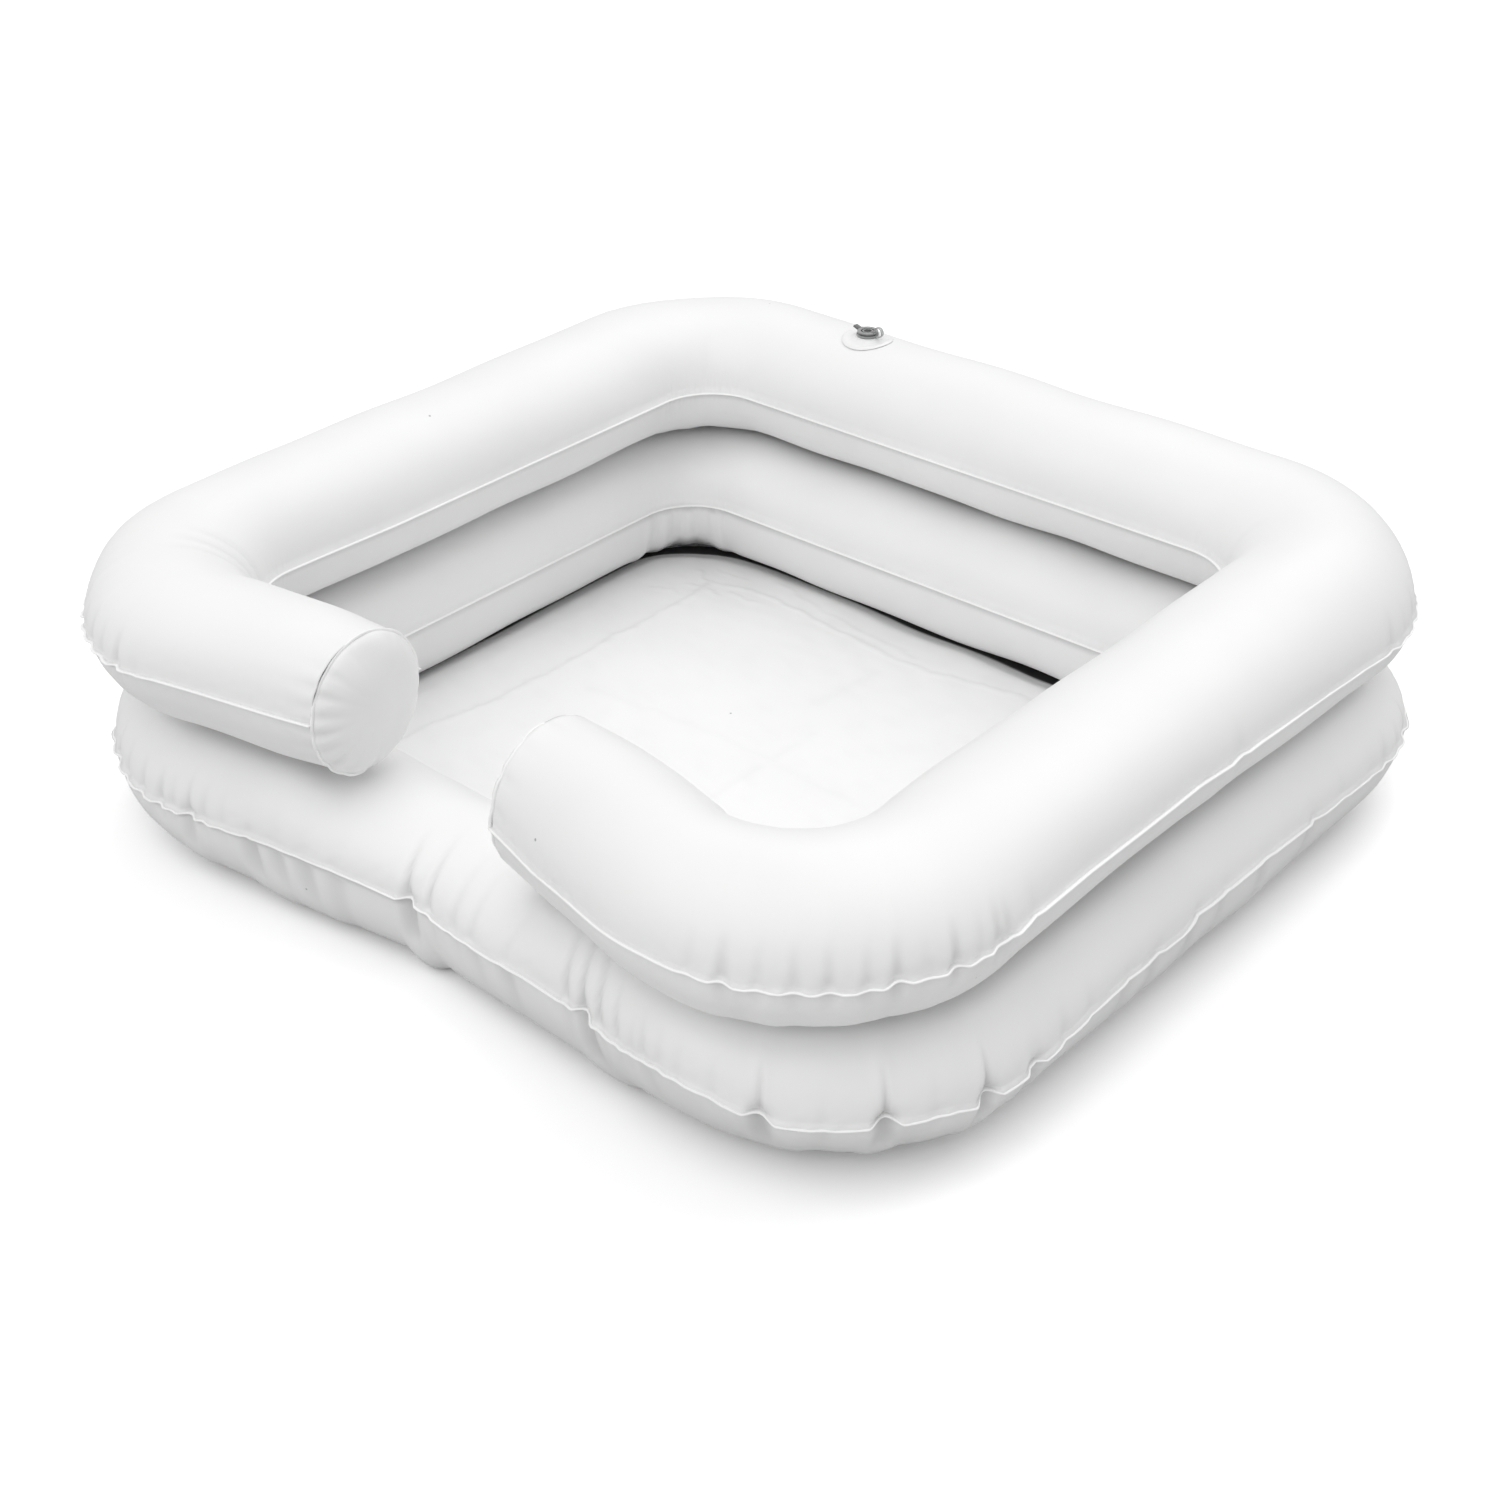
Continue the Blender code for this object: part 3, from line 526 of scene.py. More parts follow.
def make_lower_ring():
    """The closed ring under it, which carries the neck at the middle of its front."""
    low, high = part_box("lower_ring_bottom_sheet")
    half, front, back = high.x, low.y, high.y
    outer_middle = np.array((0, front + LOWER_FRONT_DRAW))
    inner_middle = outer_middle + (0, TUBE_WIDTH)
    outer = seam_rail(half, front, back, LOWER_FRONT_RADIUS, LOWER_BACK_RADIUS, outer_middle)
    inner = seam_rail(half - TUBE_WIDTH, front + TUBE_WIDTH, back - TUBE_WIDTH,
                      INNER_CORNER_RADIUS, INNER_CORNER_RADIUS, inner_middle)
    ring = make_ring(outer, inner, "lower_ring_top_sheet", "lower_ring_bottom_sheet")
    ring.flatness = through(LOWER_FLATNESS, 1, ring.along)
    loaded = smooth((np.abs(ring.along) - LOADED_START) / LOADED_REACH)
    ring.crown = ring.crown + LOWER_PRESSED * loaded
    ring.top_flatness = -LOADED_FULLNESS * loaded
    ring.drawn = through(LOWER_DRAWN, MM, ring.along)
    ring.pleats, ring.creases = LOWER_PLEATS, ()
    ring.level = seam_level(ring, LOWER_LEVELS)
    ring.closed = True
    return ring


# Waves in the film that are too faint to count: how high, how long, and how many to a radian
SWELL = 0.0007
SWELL_LENGTH = 0.11
PUCKER = 0.00022
PUCKER_LENGTH = 0.009
PUCKER_REACH = 0.009
SCALLOP = 0.0019
SCALLOP_START = 0.034
SCALLOP_REACH = 0.018
SCALLOP_PACE = 20
SCALLOP_DRIFT = 2.2
SCALLOP_DRIFT_PACE = 7
SCALLOP_STRENGTH = 0.55
SCALLOP_CHANGE = 0.45
SCALLOP_CHANGE_PACE = 11
UPPER_SCALLOP_SHARE = 0.5
WAVES = 7
WAVE_LENGTHS = (0.7, 1.4)


def ripple(net, length, seed):
    """Smooth irregular waves between -1 and 1, of about that length, over a net of points."""
    draw = np.random.default_rng(seed)
    waves = np.zeros(net.shape[:-1])
    for _ in range(WAVES):
        direction = draw.normal(size=net.shape[-1])
        direction /= np.linalg.norm(direction)
        pace = math.tau / (length * draw.uniform(*WAVE_LENGTHS))
        waves += np.sin(net @ direction * pace + draw.uniform(0, math.tau))
    return waves / math.sqrt(WAVES)


def valley(beside, half, skew):
    """Section of a valley, from 1 at its middle to 0 at its rounded edges, steeper on one side."""
    width = half * np.where(beside > 0, 1 - skew, 1 + skew)
    return (1 - np.clip(beside / width, -1, 1) ** 2) ** 2


def pleat_depth(along, distance, pleats, below):
    """How far the film is drawn in by its pleats, at places along a seam and distances from it."""
    depth = np.zeros(np.broadcast(along, distance).shape)
    turned = np.exp(-distance / NOTCH_REACH)
    for one in pleats:
        crease = one.below if below else one.above
        share = np.clip(distance / crease.reach, 0, 1)
        beside = along - one.place - crease.lean * share
        notch = one.notch * turned * valley(along - one.place, one.half, 0)
        groove = crease.depth * (1 - turned) * valley(beside, crease.half, crease.skew)
        stand = crease.flare * smooth((share - FLARE_START) / FLARE_REACH)
        stand = stand * valley(beside, 2 * crease.half, -crease.skew)
        depth = depth + notch + groove * (1 - share) ** FADE_POWER - stand
    return depth


def crease_depth(ring, from_inner, side):
    """Creases that run out from the inner seam over a corner."""
    depth = np.zeros(from_inner.shape)
    for place, size, half, reach, lean in np.array(ring.creases) * MM:
        share = np.clip(from_inner / reach, 0, 1)
        beside = ring.along[:, None] - place - lean * share
        size *= 1 if side > 0 else CREASE_UNDER_SHARE
        run = share ** CREASE_START_POWER * (1 - share) ** CREASE_END_POWER
        depth += size * valley(beside, half, 0) * run
    return depth


def corner_bend(ring, front_share):
    """From 0 along the sides to 1 in the middle of a corner; the front corners can have less."""
    heading = np.arctan2(ring.across[:, 1], ring.across[:, 0])
    return np.sin(2 * heading) ** 2 * np.where(heading > 0, 1, front_share)


def foot_scallops(ring, from_inner):
    """Small folds low on the inner side, where the ring is bent round a corner."""
    heading = np.unwrap(np.arctan2(ring.across[:, 1], ring.across[:, 0]))
    drift = SCALLOP_DRIFT * np.sin(SCALLOP_DRIFT_PACE * heading)
    strength = SCALLOP_STRENGTH + SCALLOP_CHANGE * np.sin(SCALLOP_CHANGE_PACE * heading + 1)
    wave = np.sin(SCALLOP_PACE * heading + drift) * strength
    low = smooth((from_inner - SCALLOP_START) / SCALLOP_REACH)
    return (corner_bend(ring, 1) * wave)[:, None] * low * SCALLOP


def puckers_at(turn, right):
    """Depth of the gathers at an angle round one of the upper ring's round ends."""
    depth = np.zeros(np.shape(turn))
    for degrees, size in RIGHT_END_PUCKERS if right else LEFT_END_PUCKERS:
        apart = (turn - math.radians(degrees) + math.pi) % math.tau - math.pi
        depth = depth + size * MM * valley(apart * END_RADIUS, END_PUCKER_HALF, 0)
    return depth


def fading(distance, reach):
    """A gather next to a rim: held flat by the rim, deepest a little off it, and soon gone."""
    held = END_PUCKER_HELD + (1 - END_PUCKER_HELD) * smooth(distance / END_PUCKER_RISE)
    return held * np.exp(-distance / reach)


def end_puckers(along, turn):
    """Gathers in the upper ring's film at its two round ends."""
    depth = np.zeros((len(along), len(turn)))
    for right in (True, False):
        stations = along >= 0 if right else along < 0
        share = fading(np.abs(along), END_PUCKER_REACH) * stations
        depth += share[:, None] * puckers_at(turn, right)[None, :]
    return depth


def seam_level(ring, levels):
    """How far the outer seam runs above or below its plane: it also rises where it is gathered."""
    places, heights = np.array(levels).T * MM
    notches = pleat_depth(ring.along, np.zeros(len(ring.along)), ring.pleats, False)
    fast, slow = (ring.along * pace for pace in SEAM_WAVER_PACES)
    waver = np.sin(fast) + np.sin(slow + 1)
    return np.interp(ring.along, places, heights) + NOTCH_LIFT * notches + SEAM_WAVER * waver


def film_section(ring, side):
    """Half a tube's section at each station, from the outer lip over to the inner one: the places
    across and up, the way that the film faces there, and the angle round the tube."""
    share = np.arange(ACROSS_STEPS + 1) / ACROSS_STEPS
    angle = math.pi * (OUTER_DENSITY_SHARE * share + (1 - OUTER_DENSITY_SHARE) * share ** 2)
    cosine, sine = np.cos(angle), np.abs(np.sin(angle))
    if side > 0:
        flatness = ring.top_flatness[:, None] + 0 * cosine
    else:
        flatness = np.where(cosine > 0, ring.flatness[:, None], ring.inner_flatness[:, None])
    power = 2 / (2 - flatness)
    root = (ring.half - ring.lip)[:, None]
    rise = ((ring.crown if side > 0 else ring.belly)[:, None] - LIP_FACE) / CROWN_SHARE
    flat = np.zeros((len(ring.half), 1))
    tip = ring.half[:, None] - WELD_WIDTH / 2
    across = np.hstack((tip, root * np.sign(cosine) * np.abs(cosine) ** power, -tip))
    up = LIP_FACE + np.hstack((flat, rise * sine ** power, flat))
    out_across = np.sign(cosine) * np.abs(cosine) ** (2 - power) / root
    out_up = sine ** (2 - power) / rise
    length = np.hypot(out_across, out_up)
    out_across = np.hstack((flat + 1, out_across / length, flat - 1))
    out_up = np.hstack((flat, out_up / length, flat))
    return across, up, out_across, out_up, np.hstack((0, side * angle, side * math.pi))


def film_folds(ring, side, distance, from_inner, turn):
    """How far the film is drawn in by its pleats, gathers, creases and scallops."""
    depth = pleat_depth(ring.along[:, None], distance, ring.pleats, side < 0)
    if not ring.closed:
        depth += end_puckers(ring.along, turn)
    depth += crease_depth(ring, from_inner, side)
    if side < 0:
        depth += foot_scallops(ring, from_inner) * (1 if ring.closed else UPPER_SCALLOP_SHARE)
    return depth


def film_shade(ring, side, depth, distance, from_inner, shares):
    """Painted shade in folds, in the pinch under seams, by the ends' rims, and as contact shadow under
    the upper ring.
    """
    painted_shade = np.clip(depth / HOLLOW_DEPTH, 0, 1) * smooth(distance / HOLLOW_START)
    if side < 0:
        pinch = smooth(1 - np.minimum(distance, from_inner) / PINCH_REACH)
        painted_shade = np.maximum(painted_shade, pinch * PINCH_SHADE)
    if ring.closed and side > 0:
        under = smooth((CONTACT_START - shares) / CONTACT_REACH)
        under *= smooth((shares + CONTACT_END) / (2 * CONTACT_END))
        under *= smooth((np.abs(ring.along[:, None]) - CONTACT_BARE) / CONTACT_FADE)
        painted_shade = np.maximum(painted_shade, CONTACT_SHADE * under)
    if not ring.closed:
        rim = smooth(1 - np.abs(ring.along) / PINCH_REACH)
        rim *= np.where(ring.along < 0, LEFT_RIM_SHADE, RIGHT_RIM_SHADE)
        painted_shade = np.maximum(painted_shade, rim[:, None])
    return painted_shade


def film_net(ring, side, seed):
    """Net over one sheet of a ring: along it, and from the outer lip over to the inner one."""
    across, up, out_across, out_up, turn = film_section(ring, side)
    steps = np.hypot(np.diff(across, axis=1), np.diff(up, axis=1))
    steps[:, 0] = 0
    steps[:, -1] = 0
    distance = np.hstack((np.zeros((len(steps), 1)), np.cumsum(steps, axis=1)))
    from_inner = distance[:, -1:] - distance
    depth = film_folds(ring, side, distance, from_inner, turn)
    spots = np.stack(np.broadcast_arrays(ring.along[:, None], distance), axis=2)
    near_seam = np.exp(-np.minimum(distance, from_inner) / PUCKER_REACH)
    depth += PUCKER * near_seam * ripple(spots, PUCKER_LENGTH, seed)
    shares = across / ring.half[:, None]
    across, up = drawn_in(ring, across) - depth * out_across, up - depth * out_up

    spot = ring.centre[:, None, :] + ring.across[:, None, :] * across[:, :, None]
    net = np.dstack((spot, ring.seam + side * up))
    swell = SWELL * ripple(net, SWELL_LENGTH, seed + 1) * (1 - near_seam)
    net[:, :, :2] += ring.across[:, None, :] * (out_across * swell)[:, :, None]
    net[:, :, 2] += side * out_up * swell
    level = ring.level[:, None] * np.clip(shares, 0, 1) ** LEVEL_POWER
    net[:, :, 2] += level * np.clip(net[:, :, 2] / ring.seam, 0, 1)
    if ring.closed and side < 0:
        heel = corner_bend(ring, HEEL_FRONT_SHARE)[:, None] ** 2
        heel = heel * smooth((-shares - HEEL_START) / HEEL_REACH)
        net[:, :, 2] += HEEL_LIFT * heel * (1 - np.clip(net[:, :, 2] / ring.seam, 0, 1))
    net[:, :, 2] = np.maximum(net[:, :, 2], LIP_FACE)
    # The net, with the painted shade at each of its points
    return net, film_shade(ring, side, depth, distance, from_inner, shares)


def add_piece(name, bm, material):
    """Turn a bmesh into a smooth piece at the origin."""
    mesh = bpy.data.meshes.new(name)
    bm.to_mesh(mesh)
    bm.free()
    mesh.materials.append(material)
    mesh.shade_smooth()
    piece = bpy.data.objects.new(name, mesh)
    bpy.context.scene.collection.objects.link(piece)
    return piece


def grid_onto(net, painted_shade=None):
    """A flat grid whose points are moved one by one onto a net, with the painted shade that each one
    gets.
    """
    rows, columns = net.shape[0] - 1, net.shape[1] - 1
    bm = bmesh.new()
    bmesh.ops.create_grid(bm, x_segments=rows, y_segments=columns, size=1)
    layer = bm.verts.layers.float.new("painted_shade")
    for vert in bm.verts:
        row = round((vert.co.x + 1) / 2 * rows)
        column = round((vert.co.y + 1) / 2 * columns)
        vert.co = net[row, column]
        if painted_shade is not None:
            vert[layer] = painted_shade[row, column]
    return bm


def close_up(bm, way=None):
    """Merge the points that lie on each other, and turn the faces outwards, or mostly one way."""
    bmesh.ops.remove_doubles(bm, verts=bm.verts[:], dist=MERGE_DISTANCE)
    bmesh.ops.recalc_face_normals(bm, faces=bm.faces[:])
    if way is not None and sum(face.normal.dot(way) for face in bm.faces) < 0:
        bmesh.ops.reverse_faces(bm, faces=bm.faces[:])


def walled(name, bm, material):
    """A film with its thickness."""
    piece = add_piece(name, bm, material)
    wall = piece.modifiers.new("film", "SOLIDIFY")
    wall.thickness = FILM
    wall.offset = -1
    return piece


def open_hole(bm, seat, radius):
    """Open a round hole in a film, for the fitting that sits there."""
    to_seat = seat.inverted()

    def offset(point):
        local = to_seat @ point
        return math.hypot(local.x, local.y) if abs(local.z) < radius else math.inf

    inside = [face for face in bm.faces if offset(face.calc_center_median()) < radius]
    bmesh.ops.delete(bm, geom=inside, context="FACES")
    for vert in bm.verts:
        if vert.is_boundary and offset(vert.co) < HOLE_REACH * radius:
            local = to_seat @ vert.co
            scale = radius / math.hypot(local.x, local.y)
            vert.co = seat @ Vector((local.x * scale, local.y * scale, local.z))


def film_piece(name, ring, side, seed, seat, material):
    """One inflated sheet of a ring, with the film's thickness."""
    net, painted_shade = film_net(ring, side, seed)
    net = settle(net)
    if ring.closed:
        net[-1] = net[0]
    bm = grid_onto(net, painted_shade)
    close_up(bm, Vector((0, 0, side)))
    if seat:
        open_hole(bm, seat, VALVE_COLLAR_RADIUS)
    piece = walled(name, bm, material)
    return piece


def settle(net):
    """Turn the upper ring's left end a little, and set the front left corner back and in."""
    to_end = smooth(1 - np.abs(net[..., 0] + NECK_GAP / 2) / LEFT_END_REACH) * (net[..., 0] < 0)
    if net.shape[-1] == 3:
        to_end = to_end * (net[..., 2] > LEFT_END_LOW) * (net[..., 1] < LEFT_END_BACK)
        near_end = np.clip(net[..., 1] - LEFT_END_MIDDLE, -LEFT_END_HALF, LEFT_END_HALF)
        net[..., 0] += (LEFT_END_MOVE - LEFT_END_TURN * near_end) * to_end
    from_corner = np.hypot(net[..., 0] - SETTLED_CORNER[0], net[..., 1] - SETTLED_CORNER[1])
    corner = smooth(1 - from_corner / SETTLED_REACH)
    side = smooth((SETTLED_SIDE_START - net[..., 0]) / SETTLED_SIDE_REACH)
    net[..., 0] += SETTLED_CORNER_MOVE * corner + SETTLED_SIDE_MOVE * side
    net[..., 1] += SETTLED_CORNER_MOVE * corner
    return net


def swept(path, wide, high, width, height):
    """Net of a flat rounded section carried along a path."""
    angle = math.tau * np.arange(WELD_SIDES + 1) / WELD_SIDES
    across = np.sign(np.cos(angle)) * np.abs(np.cos(angle)) ** WELD_SQUARE_SHARE
    up = np.sign(np.sin(angle)) * np.abs(np.sin(angle)) ** WELD_SQUARE_SHARE
    net = path[:, None, :] + wide[:, None, :] * (across * width / 2)[None, :, None]
    net += high[:, None, :] * (up * height / 2)[None, :, None]
    net[:, -1] = net[:, 0]
    return net


def bead_piece(name, net, closed, material):
    """A weld's bead from its net, with its ends closed if it has ends."""
    if closed:
        net[-1] = net[0]
    bm = grid_onto(net)
    close_up(bm)
    if not closed:
        bmesh.ops.holes_fill(bm, edges=[edge for edge in bm.edges if edge.is_boundary])
        bmesh.ops.recalc_face_normals(bm, faces=bm.faces[:])
    return add_piece(name, bm, material)


def weld_piece(name, ring, outer, material):
    """The flat weld of two sheets along a ring's outer or inner seam."""
    offset = ring.half - WELD_WIDTH / 2
    if outer:
        offset = offset - pleat_depth(ring.along, np.zeros(len(ring.along)), ring.pleats, False)
    else:
        offset = ring.drawn - offset
    spot = ring.centre + ring.across * offset[:, None]
    lift = ring.level if outer else np.zeros(len(ring.along))
    path = np.column_stack((spot, ring.seam + lift))
    wide = np.column_stack((ring.across, np.zeros(len(ring.along))))
    high = np.zeros_like(wide) + (0, 0, 1)
    net = settle(swept(path, wide, high, WELD_WIDTH, WELD_HEIGHT))
    return bead_piece(name, net, ring.closed, material)


def end_circle(ring, right, radius):
    """Points round one end of the upper ring, with their directions outward and to the neck gap."""
    turn = math.tau * np.arange(END_STEPS + 1) / END_STEPS
    toward = 1 if right else -1
    centre = ring.centre[0 if right else -1]
    out = np.column_stack((0 * turn, -np.cos(turn), np.sin(turn)))
    middle = np.array((toward * NECK_GAP / 2, centre[1], ring.seam))
    return turn, middle + out * radius, out, np.zeros_like(out) + (-toward, 0, 0)


def end_bead(name, ring, right, material):
    """The welded rim of a round end, which waves where the film is gathered under it."""
    turn, path, out, inward = end_circle(ring, right, END_RADIUS + END_BEAD_WIDTH * END_BEAD_OUT)
    wave = puckers_at(turn, right)
    fast, faster = (pace * turn for pace in END_WAVER_PACES)
    waver = np.sin(fast + 1) + np.sin(faster + 2 * right)
    path -= out * (END_RIM_DRAWN * wave - END_WAVER * waver)[:, None]
    rise = END_BEAD_HEIGHT / 2 - END_BEAD_SEAT - END_RIM_SUNK * wave + END_WAVER * waver
    path += inward * rise[:, None]
    net = settle(swept(path, out, inward, END_BEAD_WIDTH, END_BEAD_HEIGHT))
    return bead_piece(name, net, True, material)


def end_panel(name, ring, right, material):
    """The round panel that closes an end: a low dome, drawn into gathers round its rim."""
    turn, middle, out, inward = end_circle(ring, right, 0)
    share = np.sin(RIGHT_ANGLE * np.linspace(0, 1, END_RINGS + 1))
    dome = END_DOME * (1 - share ** PANEL_DOME_POWER) ** END_DOME_EDGE
    wave = puckers_at(turn, right)
    faded = fading(END_RADIUS * (1 - share), PANEL_PUCKER_REACH)
    depth = PANEL_PUCKER * wave[:, None] * faded[None, :]
    radius = (END_RADIUS - END_RIM_DRAWN * wave)[:, None] * share[None, :]
    net = middle[:, None, :] + out[:, None, :] * radius[:, :, None]
    net = net + inward[:, None, :] * (dome[None, :] - PANEL_PUCKER_DEPTH * depth)[:, :, None]
    free = (1 - share ** PANEL_SWELL_POWER)[None, :]
    swell = PANEL_SWELL * ripple(net, PANEL_SWELL_LENGTH, PANEL_SEED + right) * free
    net += inward[:, None, :] * swell[:, :, None]
    net[-1] = net[0]
    net[:, 0] = net[0, 0]
    settle(net)
    # Painted shade in the gathers round the panel's rim
    bm = grid_onto(net, np.clip(PANEL_PUCKER_SHADE * depth / HOLLOW_DEPTH, 0, 1))
    close_up(bm, Vector(inward[0]))
    piece = walled(name, bm, material)
    return piece


def floor_outline(lower):
    """Where the floor sheet is welded to the underside of the lower tube."""
    inset = drawn_in(lower, np.full((len(lower.along), 1), -FLOOR_INSET))
    return settle(lower.centre + lower.across * inset)


def floor_net(lower):
    """Net over the floor sheet, in columns from the front to the back, and the painted shade on it."""
    outline = floor_outline(lower)
    middle = len(outline) // 2
    columns = np.sin(RIGHT_ANGLE * np.linspace(-1, 1, FLOOR_COLUMNS + 1))
    left, right = outline[:, 0].min(), outline[:, 0].max()
    lines = (left + right) / 2 + columns * (right - left) / 2
    side_y = outline[:, 1] < outline[[0, middle], 1].mean()
    front, back = outline[side_y], outline[~side_y]
    front, back = front[np.argsort(front[:, 0])], back[np.argsort(back[:, 0])]
    low = np.interp(lines, front[:, 0], front[:, 1])
    high = np.interp(lines, back[:, 0], back[:, 1])
    rows = np.linspace(0, 1, FLOOR_ROWS + 1)
    rows = FLOOR_EVEN_ROWS * rows + (1 - FLOOR_EVEN_ROWS) * (1 - np.cos(math.pi * rows)) / 2
    y = low[:, None] + (high - low)[:, None] * rows[None, :]
    x = lines[:, None] + np.zeros_like(y)
    net = np.dstack((x, y, np.zeros_like(y)))
    inset = np.array([
        np.hypot(*(line[:, None, :2] - outline[None, :, :]).transpose(2, 0, 1)).min(axis=1)
        for line in net])
    slack, folds = slackness(x, y), floor_folds(x, y)
    net[:, :, 2] = floor_height(x, y, inset, slack, folds)
    # Painted shade: black in the crevice at the floor's edge, grey beside each fold, and faint darker
    # streaks
    gap = smooth(1 - (inset - FLOOR_GAP - FLOOR_GAP_SLACK * slack) / FLOOR_GAP_EDGE)
    spots = np.dstack((x / FLOOR_STREAK_STRETCH, y))
    streaks = np.clip(ripple(spots, FLOOR_STREAK_LENGTH, FLOOR_STREAK_SEED), 0, 1) ** 2
    beside = floor_folds(x + FLOOR_FOLD_SIDE, y - FLOOR_FOLD_SIDE)
    return net, np.clip(gap + FLOOR_FOLD_SHADE * beside + FLOOR_STREAK_SHADE * streaks, 0, 1)


def away_from(x, y, line):
    """Distance from a bent line across the floor, with its ends left free."""
    nearest = np.full(x.shape, np.inf)
    for (x0, y0), (x1, y1) in zip(line, line[1:]):
        along = ((x - x0) * (x1 - x0) + (y - y0) * (y1 - y0)) / ((x1 - x0) ** 2 + (y1 - y0) ** 2)
        along = np.clip(along, 0, 1)
        nearest = np.minimum(nearest, np.hypot(x - x0 - along * (x1 - x0), y - y0 - along * (y1 - y0)))
    return nearest


def slackness(x, y):
    """Where the floor sheet hangs loose at its weld: in the far left corner, and here and there."""
    slack = np.full_like(x, FLOOR_SLACK)
    for spot_x, spot_y, width, depth, size in np.array(FLOOR_LOOSE) * (MM, MM, MM, MM, 1):
        slack += size * np.exp(-((x - spot_x) / width) ** 2 - ((y - spot_y) / depth) ** 2)
    return slack


def floor_folds(x, y):
    """The lines of the folds that it was packed in, from 0 to their own strength."""
    spots = np.dstack((x, y))
    waver, shift = (size * ripple(spots, length, seed) for size, length, seed in (FOLD_WAVER, FOLD_SHIFT))
    folds = np.zeros_like(x)
    for line, half, strength in FLOOR_FOLDS:
        distance = away_from(x + waver + shift, y + waver - shift, np.array(line) * MM)
        folds = np.maximum(folds, strength * np.exp(-(distance / half / MM) ** FLOOR_FOLD_POWER))
    return folds


def floor_height(x, y, inset, slack, folds):
    """How high the floor sheet lies: down at its weld, up where it is drawn tight, with old folds."""
    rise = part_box("floor_sheet")[1].z - FLOOR_RIM_HEIGHT
    start = FLOOR_RISE_START + FLOOR_RISE_SLACK * slack
    share = (inset - start) / (FLOOR_RISE_REACH * (1 + slack))
    drain = joint_seat("drain_unplug").translation
    from_drain = np.hypot(x - drain.x, y - drain.y) - DRAIN_PATCH_RADIUS - FLOOR_CUT_SPARE
    free = smooth(inset / FLOOR_PLAIN_REACH) * smooth(from_drain / FLOOR_PLAIN_REACH)
    spots = np.dstack((x, y))
    swell = sum(size * ripple(spots, length, seed) for size, length, seed in FLOOR_SWELLS)
    return FLOOR_RIM_HEIGHT + rise * smooth(share) + free * (swell + FLOOR_FOLD * folds)


def floor_piece(name, lower, material):
    """The basin's floor sheet, with the hole for its drain."""
    net, painted_shade = floor_net(lower)
    bm = grid_onto(net, painted_shade)
    close_up(bm, Vector((0, 0, 1)))
    open_hole(bm, joint_seat("drain_unplug"), DRAIN_SPIGOT_RADIUS + GAP)
    area = sum(face.calc_area() for face in bm.faces)
    piece = walled(name, bm, material)
    return piece


def turned(profile, seat, soft, bend=None):
    """A turned moulding on its seat, with its edges rounded."""
    bm = bmesh.new()
    verts = [bm.verts.new((radius, 0, height)) for radius, height in profile]
    ring = [bm.edges.new(pair) for pair in zip(verts, verts[1:])]
    if min(radius for radius, _ in profile) > 0:
        ring.append(bm.edges.new((verts[-1], verts[0])))
    bmesh.ops.spin(bm, geom=verts + ring, cent=(0, 0, 0), axis=(0, 0, 1), angle=math.tau,
                   steps=TURNED_STEPS, use_merge=True)
    close_up(bm)
    sharp = [edge for edge in bm.edges if len(edge.link_faces) == 2
             and edge.calc_face_angle(0) > SHARP_ANGLE]
    rounded(bm, sharp, soft)
    if bend:
        for vert in bm.verts:
            vert.co.z += bend(vert.co)
    bmesh.ops.transform(bm, matrix=seat, verts=bm.verts[:])
    return bm


def rounded(bm, edges, soft):
    """Round these edges."""
    bmesh.ops.bevel(bm, geom=edges, offset=soft, offset_type="OFFSET", segments=3, profile=0.5,
                    affect="EDGES", material=-1, clamp_overlap=True)


def tube_bend(angle, root, rise):
    """How far a tube's face lies below its tangent plane, for points beside the place of touch."""
    normal = Vector((math.cos(angle) / root, math.sin(angle) / rise)).normalized()
    tangent = Vector((-normal.y, normal.x))
    touch = Vector((root * math.cos(angle), rise * math.sin(angle)))

    def dip(point):
        start = touch + tangent * point.y
        a = (normal.x / root) ** 2 + (normal.y / rise) ** 2
        b = start.x * normal.x / root ** 2 + start.y * normal.y / rise ** 2
        c = (start.x / root) ** 2 + (start.y / rise) ** 2 - 1
        return (-b + math.sqrt(b * b - a * c)) / a

    return dip


def valve_patch(seat, bend):
    """Round welded patch with a raised edge, and the collar that holds the stem."""
    top = GAP + VALVE_PATCH
    collar = top + VALVE_COLLAR_RISE
    bore = STEM_RADIUS + GAP
    edge = VALVE_PATCH_RADIUS
    profile = [
        (edge, GAP), (edge - VALVE_PATCH_CHAMFER, GAP + VALVE_PATCH_CHAMFER),
        *((edge - inset * MM, top + rise * MM) for inset, rise in VALVE_PATCH_EDGE),
        (VALVE_COLLAR_RADIUS + VALVE_COLLAR_FILLET, top),
        (VALVE_COLLAR_RADIUS, top + VALVE_COLLAR_FILLET_RISE), (VALVE_COLLAR_RADIUS, collar),
        (bore, collar), (bore, -VALVE_COLLAR_DEPTH), (VALVE_COLLAR_RADIUS, -VALVE_COLLAR_DEPTH),
        (VALVE_COLLAR_RADIUS, GAP), (edge - VALVE_PATCH_BEND_RING, GAP)]

    def lie(point):
        from_collar = math.hypot(point.x, point.y) - VALVE_COLLAR_RADIUS
        return float(bend(point) * smooth(from_collar / VALVE_PATCH_BEND_START))

    return turned(profile, seat, EDGE_SOFT, lie)


